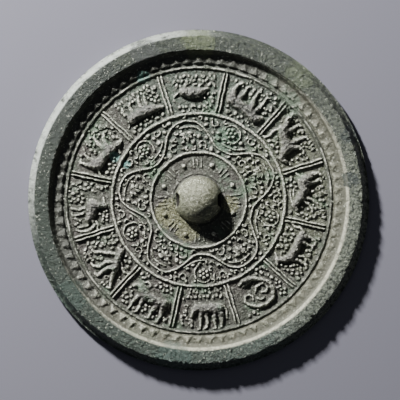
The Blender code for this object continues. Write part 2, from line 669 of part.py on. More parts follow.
def add_face_and_edge(shape, border):
    """Close the body below: drop the edge, then draw the face inwards down to its flat middle."""
    flat_radius = MIRROR_RADIUS - FACE_SWELL_WIDTH
    tiers = [(MIRROR_RADIUS, FACE_SWELL_HEIGHT)]
    for tier in range(SWELL_TIERS - 1, -1, -1):
        share = tier / SWELL_TIERS
        tiers.append((flat_radius + FACE_SWELL_WIDTH * share, FACE_SWELL_HEIGHT * share ** 2))
    for radius, height in tiers:
        grown = bmesh.ops.extrude_edge_only(shape, edges=border)["geom"]
        for corner in (item for item in grown if isinstance(item, bmesh.types.BMVert)):
            flat = Vector((corner.co.x, corner.co.y)).normalized() * radius
            corner.co = (flat.x, flat.y, height)
        border = [item for item in grown if isinstance(item, bmesh.types.BMEdge)]
    bmesh.ops.contextual_create(shape, geom=border)


def cord_cutter():
    """A guide with the outline of the cord hole: a flat sill below a full round arch."""
    sill = PLATE_THICKNESS + HOLE_SILL
    half_width = HOLE_WIDTH / 2
    half_length = KNOB_RADIUS + KNOB_MOAT_WIDTH / 2
    shape = bmesh.new()
    outline = []
    for k in range(ARCH_FACETS + 1):
        turn = math.pi * k / ARCH_FACETS
        across = math.cos(turn)
        up = math.sin(turn)
        reach = (abs(across) ** HOLE_ROUNDNESS + up ** HOLE_ROUNDNESS) ** (-1.0 / HOLE_ROUNDNESS)
        place = (-half_length, across * reach * half_width, sill + up * reach * HOLE_HEIGHT)
        outline.append(shape.verts.new(place))
    end = shape.faces.new(outline)
    grown = bmesh.ops.extrude_face_region(shape, geom=[end])["geom"]
    moved = [item for item in grown if isinstance(item, bmesh.types.BMVert)]
    bmesh.ops.translate(shape, verts=moved, vec=(2 * half_length, 0.0, 0.0))
    bmesh.ops.recalc_face_normals(shape, faces=shape.faces)
    mesh = bpy.data.meshes.new("cord_hole_guide")
    shape.to_mesh(mesh)
    shape.free()
    guide = bpy.data.objects.new("cord_hole_guide", mesh)
    guide.hide_render = True
    guide.display_type = "WIRE"
    return guide


def bronze():
    """Old bronze under a grey-green patina."""
    material = bpy.data.materials.new("patinated_bronze")
    material.use_nodes = True
    shader = material.node_tree.nodes["Principled BSDF"]
    shader.inputs["Base Color"].default_value = (0.16, 0.17, 0.13, 1.0)
    shader.inputs["Metallic"].default_value = 0.55
    shader.inputs["Roughness"].default_value = 0.62
    return material


def main():
    for thing in list(bpy.data.objects):
        bpy.data.objects.remove(thing, do_unlink=True)
    mesh = build_casting()
    mesh.materials.append(bronze())
    mesh.shade_smooth()
    mesh.set_sharp_from_angle(angle=math.radians(SHARP_ANGLE))
    mirror = bpy.data.objects.new("mirror", mesh)
    bpy.context.scene.collection.objects.link(mirror)
    guide = cord_cutter()
    bpy.context.scene.collection.objects.link(guide)
    hole = mirror.modifiers.new("cord_hole", "BOOLEAN")
    hole.operation = "DIFFERENCE"
    hole.solver = "EXACT"
    hole.object = guide


main()
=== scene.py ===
# %% [markdown]
# # The back of an old bronze mirror
# The real mirror was cast in one pour. Its polished face lies below, and what shows is the back:
# a pierced knob, a ring of dots, a vine with grapes, twelve animals in their panels, a row of
# saw teeth and a raised rim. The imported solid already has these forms, with few faces. This
# lesson makes the same casting again with a fine skin, because raking light shows every dent.

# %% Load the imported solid
import math

import bmesh
import bpy
import numpy as np
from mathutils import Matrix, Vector
from mathutils.geometry import delaunay_2d_cdt


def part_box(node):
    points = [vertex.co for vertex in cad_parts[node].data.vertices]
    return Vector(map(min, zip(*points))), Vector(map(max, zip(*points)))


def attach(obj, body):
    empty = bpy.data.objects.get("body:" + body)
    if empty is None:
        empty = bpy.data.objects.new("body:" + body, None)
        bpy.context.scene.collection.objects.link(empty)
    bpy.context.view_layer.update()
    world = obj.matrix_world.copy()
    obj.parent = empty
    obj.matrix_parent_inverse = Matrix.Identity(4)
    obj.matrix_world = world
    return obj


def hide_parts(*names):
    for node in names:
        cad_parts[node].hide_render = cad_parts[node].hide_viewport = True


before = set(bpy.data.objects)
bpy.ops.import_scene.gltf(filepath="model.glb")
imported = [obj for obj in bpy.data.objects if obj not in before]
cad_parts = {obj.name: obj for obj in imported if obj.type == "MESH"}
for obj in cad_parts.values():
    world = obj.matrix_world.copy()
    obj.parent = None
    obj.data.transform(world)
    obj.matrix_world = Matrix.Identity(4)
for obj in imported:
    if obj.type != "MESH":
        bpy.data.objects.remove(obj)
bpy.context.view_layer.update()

MM = 0.001
low_corner, high_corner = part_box("mirror")
MIRROR_RADIUS = (high_corner.x - low_corner.x) / 2
print(f"disc {2 * MIRROR_RADIUS / MM:.1f} mm wide, {high_corner.z / MM:.1f} mm high")

# %% [markdown]
# ## The rings
# A mirror's back is laid out in rings round the knob. All of them could be read off the solid,
# but a table of widths is easier to follow, and its sum has to be the disc's radius.

# %% Ring widths from the centre outwards, in millimetres
ring_widths = {
    "knob": 11.5, "moat": 0.7, "knob_ridge": 1.2, "stroke_ring": 8.9, "inner_line": 1.6,
    "vine_band": 17.1, "middle_line": 1.8, "animal_band": 20.4, "outer_line": 1.8, "step": 1.2,
    "tooth_band": 4.2, "inner_wall": 2.1, "rim_top": 6.6, "outer_wall": 3.4,
}
starts, ends = {}, {}
reach = 0.0
for ring, width in ring_widths.items():
    starts[ring] = reach
    reach += width * MM
    ends[ring] = reach
print(f"the rings reach {reach / MM:.1f} mm, and the disc {MIRROR_RADIUS / MM:.1f} mm")


def middle(ring):
    """Radius of the middle of a ring."""
    return (starts[ring] + ends[ring]) / 2


# %% [markdown]
# ## Small tools for node trees
# Geometry Nodes trees are built in the script here, so that the lesson shows every node. A few
# helpers keep that short: one starts a tree with named inputs, one adds a node and feeds it, some
# do arithmetic, and one runs a tree on an object and keeps the outcome as a plain mesh.

# %% Helpers for trees
def new_tree(name, inputs):
    """A Geometry Nodes tree with a geometry in and out, and the named inputs."""
    tree = bpy.data.node_groups.new(name, "GeometryNodeTree")
    tree.interface.new_socket("Geometry", in_out="OUTPUT", socket_type="NodeSocketGeometry")
    tree.interface.new_socket("Geometry", in_out="INPUT", socket_type="NodeSocketGeometry")
    for label, kind in inputs.items():
        tree.interface.new_socket(label, in_out="INPUT", socket_type="NodeSocket" + kind)
    return tree, tree.nodes.new("NodeGroupInput").outputs


def put(tree, kind, sockets=None, **options):
    """Add a node, set its options, and feed its sockets with links or plain values."""
    made = tree.nodes.new(kind)
    for option, value in options.items():
        setattr(made, option, value)
    for key, value in (sockets or {}).items():
        if isinstance(value, bpy.types.NodeSocket):
            tree.links.new(value, made.inputs[key])
        else:
            made.inputs[key].default_value = value
    return made.outputs


def calc(tree, operation, first, second=0.0):
    """One step of arithmetic."""
    return put(tree, "ShaderNodeMath", {0: first, 1: second}, operation=operation)[0]


def arithmetic(tree):
    """Short functions for one tree: sum, difference, product, quotient, least and most."""
    def chain(operation):
        def work_out(first, *others):
            for other in others:
                first = calc(tree, operation, first, other)
            return first
        return work_out
    return [chain(kind) for kind in ("ADD", "SUBTRACT", "MULTIPLY", "DIVIDE", "MINIMUM",
                                     "MAXIMUM")]


def fade(tree, value, low, high, lowest=0.0, **options):
    """How far a value has come from low to high, as a number up to 1."""
    return put(tree, "ShaderNodeMapRange", {
        "Value": value, "From Min": low, "From Max": high, "To Min": lowest}, **options)[0]


def noise_of(tree, place, per_metre, detail, roughness):
    """Cloudy noise at a place."""
    return put(tree, "ShaderNodeTexNoise", {
        "Vector": place, "Scale": per_metre, "Detail": detail, "Roughness": roughness})


def column(tree, name):
    """Read a named number from each corner of the mesh."""
    return put(tree, "GeometryNodeInputNamedAttribute", {"Name": name})["Attribute"]


def close_tree(tree, geometry, material):
    """End a tree: instances become real, and the finish is set."""
    real = put(tree, "GeometryNodeRealizeInstances", {"Geometry": geometry})["Geometry"]
    done = put(tree, "GeometryNodeSetMaterial", {"Geometry": real, "Material": material})
    put(tree, "NodeGroupOutput", {"Geometry": done["Geometry"]})
    return tree


def run_tree(tree, source, name, values):
    """Run the tree on the source and keep the outcome as a new object with a plain mesh."""
    modifier = source.modifiers.new(tree.name, "NODES")
    modifier.node_group = tree
    for item in tree.interface.items_tree:
        if item.in_out == "INPUT" and item.name in values:
            modifier[item.identifier] = values[item.name]
    graph = bpy.context.evaluated_depsgraph_get()
    mesh = bpy.data.meshes.new_from_object(
        source.evaluated_get(graph), preserve_all_data_layers=True, depsgraph=graph)
    source.modifiers.remove(modifier)
    made = bpy.data.objects.new(name, mesh)
    bpy.context.scene.collection.objects.link(made)
    print(f"{name}: {len(mesh.vertices)} corners")
    return made


def mesh_object(name, corners, edges=(), faces=(), columns=None):
    """An object from rows of corners, with a named number per corner for each column."""
    mesh = bpy.data.meshes.new(name)
    mesh.from_pydata([tuple(map(float, corner)) for corner in corners], list(edges), list(faces))
    for label, numbers in (columns or {}).items():
        attribute = mesh.attributes.new(label, "FLOAT", "POINT")
        attribute.data.foreach_set("value", np.asarray(numbers, dtype=np.float32))
    made = bpy.data.objects.new(name, mesh)
    bpy.context.scene.collection.objects.link(made)
    return made


def corners_of(thing):
    """All corners of an object's mesh, as rows of x, y and z."""
    rows = np.zeros(len(thing.data.vertices) * 3, dtype=np.float32)
    thing.data.vertices.foreach_get("co", rows)
    return rows.reshape(-1, 3).astype(float)


patina = bpy.data.materials.new("patinated_bronze")
patina.use_nodes = True

# %% [markdown]
# ## The turned blank
# The founder's model starts as a turned disc: ground, raised ring lines, a sloping band, the rim
# and the round knob all follow one profile. Here the profile is a short list of bends. It is
# sampled finely and softened a little, as wax and clay soften every arris. A tree then bends a
# flat grid into rounds, one row of the grid for each sample. A screw modifier would also do it,
# but the tree needs no seam to be cleaned up where the turn closes.

# %% Profile of the blank
PLATE_THICKNESS = 3.0 * MM
KNOB_HEIGHT = 10.5 * MM
RIM_HEIGHT = 4.4 * MM
STEP_HEIGHT = 0.6 * MM
BAND_RISE = 0.8 * MM
EDGE_TOP = 1.6 * MM
line_heights = {"knob_ridge": 0.35 * MM, "inner_line": 1.0 * MM, "middle_line": 1.1 * MM,
                "outer_line": 0.9 * MM}
SAMPLE_GAP = 0.15 * MM
ARRIS_SOFTNESS = 2


def turned_profile():
    """Radius and height of the blank, finely sampled from the knob's middle to the edge."""
    ground = PLATE_THICKNESS
    bends = [(starts["step"], ground), (starts["tooth_band"], ground + STEP_HEIGHT),
             (starts["inner_wall"], ground + STEP_HEIGHT + BAND_RISE),
             (starts["rim_top"], ground + RIM_HEIGHT), (ends["rim_top"], ground + RIM_HEIGHT),
             (MIRROR_RADIUS, EDGE_TOP)]
    radii = np.append(np.arange(SAMPLE_GAP, MIRROR_RADIUS, SAMPLE_GAP), MIRROR_RADIUS)
    heights = np.interp(radii, [bend[0] for bend in bends], [bend[1] for bend in bends])
    for ring, height in line_heights.items():
        share = (radii - middle(ring)) / ((ends[ring] - starts[ring]) / 2)
        ridge = ground + height * np.sqrt(np.clip(1.0 - share ** 2, 0.0, 1.0))
        heights = np.maximum(heights, ridge)
    for _ in range(ARRIS_SOFTNESS):
        heights[1:-1] = (heights[:-2] + 2 * heights[1:-1] + heights[2:]) / 4
    dome = np.sqrt(np.clip(1.0 - (radii / ends["knob"]) ** 2, 0.0, 1.0))
    return radii, np.where(radii < ends["knob"], ground + KNOB_HEIGHT * dome, heights)


profile_radii, profile_heights = turned_profile()
print(f"{len(profile_radii)} samples, highest at {profile_heights.max() / MM:.2f} mm")

# %% Tree that turns the profile into a disc
BLANK_SEGMENTS = 360
turning, given = new_tree("turn the blank", {"Segments": "Int", "Samples": "Int"})
grid = put(turning, "GeometryNodeMeshGrid", {
    "Size X": 1.0, "Size Y": 1.0, "Vertices X": given["Segments"], "Vertices Y": given["Samples"]})
order = put(turning, "GeometryNodeInputIndex")[0]
row = calc(turning, "MODULO", order, given["Samples"])
lap = calc(turning, "FLOOR", calc(turning, "DIVIDE", order, given["Samples"]))
turn = calc(turning, "DIVIDE", calc(turning, "MULTIPLY", lap, math.tau),
            calc(turning, "SUBTRACT", given["Segments"], 1.0))
outline = put(turning, "GeometryNodeInputPosition")[0]
sample = put(turning, "GeometryNodeSampleIndex", {
    "Geometry": given["Geometry"], "Value": outline, "Index": row}, data_type="FLOAT_VECTOR")
parts = put(turning, "ShaderNodeSeparateXYZ", {0: sample[0]})
spot = put(turning, "ShaderNodeCombineXYZ", {
    0: calc(turning, "MULTIPLY", parts[0], calc(turning, "COSINE", turn)),
    1: calc(turning, "MULTIPLY", parts[0], calc(turning, "SINE", turn)), 2: parts[2]})
bent = put(turning, "GeometryNodeSetPosition", {"Geometry": grid["Mesh"], "Position": spot[0]})
close_tree(turning, bent["Geometry"], patina)
profile_line = mesh_object(
    "profile", np.stack([profile_radii, 0 * profile_radii, profile_heights], axis=1))
blank = run_tree(turning, profile_line, "turned_blank", {
    "Segments": BLANK_SEGMENTS + 1, "Samples": len(profile_radii)})

# %% [markdown]
# ## Stamps for what repeats
# Berries, dots, bars, strokes, small leaves and hooked tendrils come back hundreds of times. On
# the clay model they were pressed or cut with the same few tools. So there are four small
# blanks, a dome, a bar, a leaf and a hook, and one tree that sets a blank on every point, turned
# and sized by numbers that the point carries.

# %% The four blanks, each about one unit long, wide and high
def loft(name, stations):
    """A small open surface through rows of corners."""
    rows = len(stations)
    count = len(stations[0])
    faces = [(r * count + c, r * count + c + 1, (r + 1) * count + c + 1, (r + 1) * count + c)
             for r in range(rows - 1) for c in range(count - 1)]
    return mesh_object(name, [corner for station in stations for corner in station], (), faces)


SKIRT = 1.15
ACROSS = (-SKIRT, -1.0, -0.85, -0.5, 0.0, 0.5, 0.85, 1.0, SKIRT)


def round_height(share):
    """Height of a half-round section, and a skirt below ground outside it."""
    return math.sqrt(1.0 - share * share) if abs(share) < 1.0 else (1.0 - abs(share))


def dome_blank(sides=10):
    """A round bead with a skirt that ends below the ground."""
    rings = (0.02, 0.5, 0.85, 1.0, SKIRT)
    stations = []
    for share in rings:
        turns = [math.tau * k / sides for k in range(sides + 1)]
        stations.append([(share * math.cos(t), share * math.sin(t), round_height(share))
                         for t in turns])
    return loft("dome", stations)


def bar_blank():
    """A straight half-round bar along X, rounded at both ends."""
    shares = (-0.5, -0.485, -0.45, -0.4, -0.3, -0.15, 0.0, 0.15, 0.3, 0.4, 0.45, 0.485, 0.5)
    stations = []
    for along in shares:
        full = min(1.0, math.sqrt(max(0.0, (0.5 - abs(along)) / 0.05)) + 0.05)
        stations.append([(along, t * full, round_height(t) * full) for t in ACROSS])
    return loft("bar", stations)


def leaf_blank():
    """A pointed leaf along X with a sunken midrib."""
    stations = []
    for k in range(9):
        along = k / 8
        half = 0.12 + 0.88 * math.sin(math.pi * along ** 0.75) ** 0.8 if 0 < k < 8 else 0.1
        rib = [0.72 if t == 0.0 else 1.0 for t in ACROSS]
        stations.append([(along, t * half, round_height(t) * (0.3 + 0.7 * half) * r)
                         for t, r in zip(ACROSS, rib)])
    return loft("leaf", stations)


def hook_blank(stops=8, sweep=250.0):
    """A tendril's tip: a rod that bends round into a hook and ends in a bead."""
    stations = []
    for k in range(stops + 1):
        share = k / stops
        turn = math.radians(sweep * share)
        half = (0.26 + 0.16 * share) if 0 < k < stops else 0.05
        radius = 0.72 - 0.2 * share
        stations.append([((radius + t * half) * math.cos(turn), (radius + t * half) * math.sin(turn),
                          round_height(t) * min(1.0, half / 0.26)) for t in ACROSS])
    return loft("hook", stations)


blanks = {"dome": dome_blank(), "bar": bar_blank(), "leaf": leaf_blank(), "hook": hook_blank()}
for blank_name, thing in blanks.items():
    print(f"{blank_name}: {len(thing.data.polygons)} faces")

# %% Tree that sets a blank on every point
stamping, given = new_tree("stamp a blank on points", {"Blank": "Object"})
shape = put(stamping, "GeometryNodeObjectInfo", {"Object": given["Blank"]})["Geometry"]
facing = put(stamping, "ShaderNodeCombineXYZ", {2: column(stamping, "turn")})[0]
scale = put(stamping, "ShaderNodeCombineXYZ", {
    0: column(stamping, "length"), 1: column(stamping, "width"),
    2: column(stamping, "height")})[0]
stamped = put(stamping, "GeometryNodeInstanceOnPoints", {
    "Points": given["Geometry"], "Instance": shape, "Rotation": facing, "Scale": scale})
close_tree(stamping, stamped["Instances"], patina)


def stamp_all(name, blank_name, rows):
    """Stamp one blank at rows of x, y, turn in degrees, length, width and height."""
    table = np.array(rows, dtype=float)
    spots = np.column_stack([table[:, :2], np.full(len(table), PLATE_THICKNESS)])
    points = mesh_object(name + "_points", spots, columns={
        "turn": np.radians(table[:, 2]), "length": table[:, 3], "width": table[:, 4],
        "height": table[:, 5]})
    made = run_tree(stamping, points, name, {"Blank": blanks[blank_name]})
    bpy.data.objects.remove(points)
    return made


def polar(radius, degrees):
    """Place on the plan at this radius and angle."""
    return radius * math.cos(math.radians(degrees)), radius * math.sin(math.radians(degrees))


# %% [markdown]
# ## Bars, dots and strokes
# Pairs of bars part the twelve panels. Round the knob stand eight dots, and between them short
# raised strokes take the place of what was once written there, in plain rows that say nothing.

# %% Set out the bars, dots and strokes
PANELS = 12
FIRST_BAR_ANGLE = 17.8
BAR_SPACING = 1.7 * MM
BAR_HALF_WIDTH = 0.43 * MM
BAR_HEIGHT = 1.2 * MM
bar_rows = []
for k in range(PANELS):
    degrees = FIRST_BAR_ANGLE + 360.0 / PANELS * k
    for side in (-1, 1):
        x, y = polar(middle("animal_band"), degrees)
        shift_x, shift_y = polar(side * BAR_SPACING / 2, degrees + 90)
        bar_rows.append((x + shift_x, y + shift_y, degrees,
                         ring_widths["animal_band"] * MM, BAR_HALF_WIDTH, BAR_HEIGHT))

DOTS = 8
FIRST_DOT_ANGLE = 24.0
DOT_RADIUS = 1.25 * MM
DOT_HEIGHT = 1.1 * MM
STROKE_HALF_WIDTH = 0.38 * MM
STROKE_HEIGHT = 0.4 * MM
STROKE_SPACING = 1.9 * MM
dot_rows = []
for k in range(DOTS):
    degrees = FIRST_DOT_ANGLE + 360.0 / DOTS * k
    radius = middle("stroke_ring")
    dot_rows.append((*polar(radius, degrees), 0, DOT_RADIUS, DOT_RADIUS, DOT_HEIGHT))
    for n in (-1, 0, 1):
        length = (5.2 if (n + 1 + k) % 2 else 3.4) * MM
        turn_here = degrees + 180.0 / DOTS + math.degrees(n * STROKE_SPACING / radius)
        bar_rows.append((*polar(radius, turn_here), turn_here, length,
                         STROKE_HALF_WIDTH, STROKE_HEIGHT))
print(f"{len(bar_rows)} bars and strokes, {len(dot_rows)} dots")

# %% [markdown]
# ## Chains of discs
# The stem, the curls and the animals are all drawn alike: as chains of discs, each with its place
# and its half width. Two measures serve them all: how far a place lies from one link of a chain,
# and how far it lies outside a whole set of chains. What fills the gaps has to know that.

# %% Distance from chains
def link_distance(places, start, end):
    """Distance of places from one tapered link, and the half width where they are nearest."""
    run = end[:2] - start[:2]
    along = np.clip((places - start[:2]) @ run / max(run @ run, 1e-12), 0.0, 1.0)
    half = start[2] + (end[2] - start[2]) * along
    return np.linalg.norm(places - start[:2] - along[:, None] * run, axis=1), half


def outline_distance(places, chains):
    """How far places lie outside the nearest chain. Inside it the number is negative."""
    nearest = np.full(len(places), 1.0)
    for chain in chains:
        for start, end in zip(chain[:-1], chain[1:]):
            away, half = link_distance(places, start, end)
            nearest = np.minimum(nearest, away - half)
    return nearest


def jitter(seed):
    """A fixed number from -1 to 1 that looks random."""
    return math.sin(seed * 12.9898) * math.cos(seed * 4.1414 + 1.0)


# %% [markdown]
# ## The vine
# A stem swings five times between the inner and the middle ring line. It was laid out by eye, so
# its swings come a little early on one side and late on the other. In its outer hollows hang
# bunches of grapes inside a curl, in its inner ones leaves, and every gap is filled with berries
# and small leaves. The stem and the curls follow paths, so a tree sweeps a half-round section
# along them, and the grapes are stamped domes.

# %% Tree that sweeps a half-round rod along paths
sweeping, given = new_tree("sweep a rod along paths", {"Section": "Object", "Steepness": "Float"})
path = put(sweeping, "GeometryNodeMeshToCurve", {"Mesh": given["Geometry"]})["Curve"]
level = put(sweeping, "GeometryNodeSetCurveNormal", {"Curve": path}, mode="Z_UP")["Curve"]
section = put(sweeping, "GeometryNodeObjectInfo", {"Object": given["Section"]})["Geometry"]
section_line = put(sweeping, "GeometryNodeMeshToCurve", {"Mesh": section})["Curve"]
swept = put(sweeping, "GeometryNodeCurveToMesh", {
    "Curve": level, "Profile Curve": section_line, "Scale": column(sweeping, "half_width")})
place = put(sweeping, "ShaderNodeSeparateXYZ", {0: put(sweeping, "GeometryNodeInputPosition")[0]})
risen = put(sweeping, "ShaderNodeCombineXYZ", {0: place[0], 1: place[1], 2: calc(
    sweeping, "ADD", calc(sweeping, "MULTIPLY", place[2], given["Steepness"]),
    PLATE_THICKNESS)})[0]
stood = put(sweeping, "GeometryNodeSetPosition", {"Geometry": swept["Mesh"], "Position": risen})
close_tree(sweeping, stood["Geometry"], patina)
section = mesh_object("section", [(t, -round_height(t), 0.0) for t in ACROSS],
                      [(k, k + 1) for k in range(len(ACROSS) - 1)])

# %% Paths of the stem and its curls
VINE_WAVES = 5
FIRST_WAVE_ANGLE = 22.8
VINE_SWING = 6.2 * MM
STEM_HALF_WIDTH = 0.52 * MM
ROD_STEEPNESS = 1.9
SHIFT = 2.0
SHIFT_SWING = 4.0
LATEST = 120.0
WAVE = 360.0 / VINE_WAVES


def vine_shift(degrees):
    """How many degrees late the swing comes here."""
    return SHIFT + SHIFT_SWING * math.cos(math.radians(degrees - LATEST))


def vine_radius(degrees):
    """How far out the stem runs at this angle. Its bends are rounder than a plain wave's."""
    wave = math.cos(math.radians(VINE_WAVES * (degrees - FIRST_WAVE_ANGLE - vine_shift(degrees))))
    return middle("vine_band") + VINE_SWING * wave * (1.3 - 0.3 * wave * wave)


def curl(centre, first_radius, last_radius, first_turn, sweep, half_width, steps=26):
    """A path that winds inwards round a centre."""
    rows = []
    for k in range(steps + 1):
        share = k / steps
        radius = first_radius + (last_radius - first_radius) * share
        x, y = polar(radius, first_turn + sweep * share)
        rows.append((centre[0] + x, centre[1] + y, half_width * (1.0 - 0.45 * share)))
    return rows


paths = [[(*polar(vine_radius(t), t), STEM_HALF_WIDTH) for t in np.arange(0.0, 360.5, 1.0)]]
berry_rows, leaf_rows, hook_rows = [], [], []
CREST_ARC = (-2.7 * MM, 12.0)
HOLLOW_ARC = (2.8 * MM, 15.0)
ARC_HALF_WIDTH = 0.4 * MM
ARC_CUT = 0.4
ARC_STEP = 1.5
BUNCH_OFFSET = 3.2 * MM
GRAPE_SPACING = 1.95 * MM
GRAPES_ROUND_ONE = 6
GRAPE_RADIUS = 0.95 * MM
GRAPE_HEIGHT = 1.3 * MM
CURL_HALF_WIDTH = 0.48 * MM
TENDRIL_HALF_WIDTH = 0.45 * MM
TENDRIL_TIP = 0.8 * MM
FINGER_LENGTHS = {-2: 3.6 * MM, -1: 4.1 * MM, 0: 4.6 * MM, 1: 4.1 * MM, 2: 3.6 * MM}
FINGER_ANGLE = 40
FINGER_HALF_WIDTH = 1.05 * MM
FINGER_HEIGHT = 1.25 * MM
for k in range(VINE_WAVES):
    crest = FIRST_WAVE_ANGLE + WAVE * k
    crest += vine_shift(crest)
    hollow = FIRST_WAVE_ANGLE + WAVE * (k + 0.5)
    hollow += vine_shift(hollow)
    for bend, (inset, half_turn) in ((crest, CREST_ARC), (hollow, HOLLOW_ARC)):
        turns = np.arange(bend - half_turn, bend + half_turn * ARC_CUT, ARC_STEP)
        paths.append([(*polar(vine_radius(t) + inset, t), ARC_HALF_WIDTH) for t in turns])
    centre = polar(middle("vine_band") + BUNCH_OFFSET, hollow + 1.0)
    paths.append(curl(centre, first_radius=4.9 * MM, last_radius=3.6 * MM,
                      first_turn=hollow - 140, sweep=230, half_width=CURL_HALF_WIDTH))
    for distance, count in ((0.0, 1), (GRAPE_SPACING, GRAPES_ROUND_ONE)):
        for n in range(count):
            x, y = polar(distance, hollow + 360 // GRAPES_ROUND_ONE * n)
            berry_rows.append((centre[0] + x, centre[1] + y, 0, GRAPE_RADIUS, GRAPE_RADIUS,
                               GRAPE_HEIGHT))
    for side in (-1, 1):
        root = polar(middle("vine_band") + 5.6 * MM, hollow + side * 14.5)
        paths.append(curl(root, first_radius=1.9 * MM, last_radius=TENDRIL_TIP,
                          first_turn=hollow + side * 90, sweep=side * 330,
                          half_width=TENDRIL_HALF_WIDTH))
        root = polar(middle("vine_band") - 5.4 * MM, crest + side * 15.5)
        paths.append(curl(root, first_radius=2.1 * MM, last_radius=TENDRIL_TIP,
                          first_turn=hollow - side * 60, sweep=side * 300,
                          half_width=TENDRIL_HALF_WIDTH))
    root = polar(middle("vine_band") + 0.4 * MM, crest)
    for finger, length in FINGER_LENGTHS.items():
        leaf_rows.append((*root, crest + 180 + finger * FINGER_ANGLE, length, FINGER_HALF_WIDTH,
                          FINGER_HEIGHT))
print(f"{len(paths)} paths in the vine")

# %% Berries and leaves in every gap of the vine
GAP_SPACING = 3.0 * MM
BERRY_LEAST = 0.5 * MM
BERRY_MOST = 1.3 * MM
HOOK_LEAST = 1.0 * MM
GAP_FILL_HEIGHT = 1.0 * MM
GAP_CLEARANCE = 0.12 * MM
ANGLE_JITTER = 1.1
RADIUS_JITTER = 0.35 * MM
HOOK_SIZE = 1.25 * MM
HOOK_ABOVE = -0.1
SMALL_LEAF_LENGTH = 2.4 * MM
SMALL_LEAF_HALF_WIDTH = 0.62 * MM
LEAF_TIP = 0.3 * MM
LEAF_ABOVE = 0.25
BERRY_STRETCH = 1.2
grown = [np.array(path) for path in paths]
grown += [np.array([(row[0], row[1], row[3])] * 2) for row in berry_rows]
grown += [np.array([(row[0], row[1], row[4]), (
    row[0] + polar(row[3], row[2])[0], row[1] + polar(row[3], row[2])[1], LEAF_TIP)])
    for row in leaf_rows]
TIERS = 6
for tier in range(TIERS):
    radius = starts["vine_band"] + (tier + 0.5) / TIERS * ring_widths["vine_band"] * MM
    count = round(math.tau * radius / GAP_SPACING)
    for k in range(count):
        seed = tier * 131 + k
        angle = 360.0 * (k + 0.5 * (tier % 2)) / count + ANGLE_JITTER * jitter(seed)
        x, y = polar(radius + RADIUS_JITTER * jitter(seed + 0.5), angle)
        room = outline_distance(np.array([(x, y)]), grown)[0] - GAP_CLEARANCE
        if room < BERRY_LEAST:
            continue
        size = min(room, BERRY_MOST * (0.8 + 0.2 * jitter(seed + 0.7)))
        heading = 180 * jitter(seed + 0.9)
        if room > HOOK_LEAST and jitter(seed + 0.3) > HOOK_ABOVE:
            hook_rows.append((x, y, heading, HOOK_SIZE, HOOK_SIZE, GAP_FILL_HEIGHT))
        elif jitter(seed + 0.6) > LEAF_ABOVE:
            leaf_rows.append((x, y, heading, SMALL_LEAF_LENGTH, SMALL_LEAF_HALF_WIDTH,
                              GAP_FILL_HEIGHT))
        else:
            berry_rows.append((x, y, 90 * jitter(seed), size * BERRY_STRETCH, size,
                               GAP_FILL_HEIGHT))
print(f"{len(berry_rows)} berries, {len(leaf_rows)} leaves, {len(hook_rows)} hooks")


def rod_object(name, paths):
    """One mesh with an edge chain for each path and its half width at each corner."""
    corners, widths, edges = [], [], []
    for path in paths:
        first = len(corners)
        for x, y, half in path:
            corners.append((x, y, 0.0))
            widths.append(half)
        edges += [(first + k, first + k + 1) for k in range(len(path) - 1)]
    return mesh_object(name, corners, edges, columns={"half_width": widths})


vine_paths = rod_object("vine_paths", paths)
vine = run_tree(sweeping, vine_paths, "vine", {"Section": section, "Steepness": ROD_STEEPNESS})

# %% [markdown]
# ## The twelve animals
# Each animal is carved, and none repeats, so no rule makes them. A limb is drawn as a chain of
# discs, and the carving runs from disc to disc, as one would roll out clay. Each disc has its
# place across and up the panel and its half width, in hundredths of the figure's span. Every
# animal stands with its feet to the rim, and the first chain is its trunk.

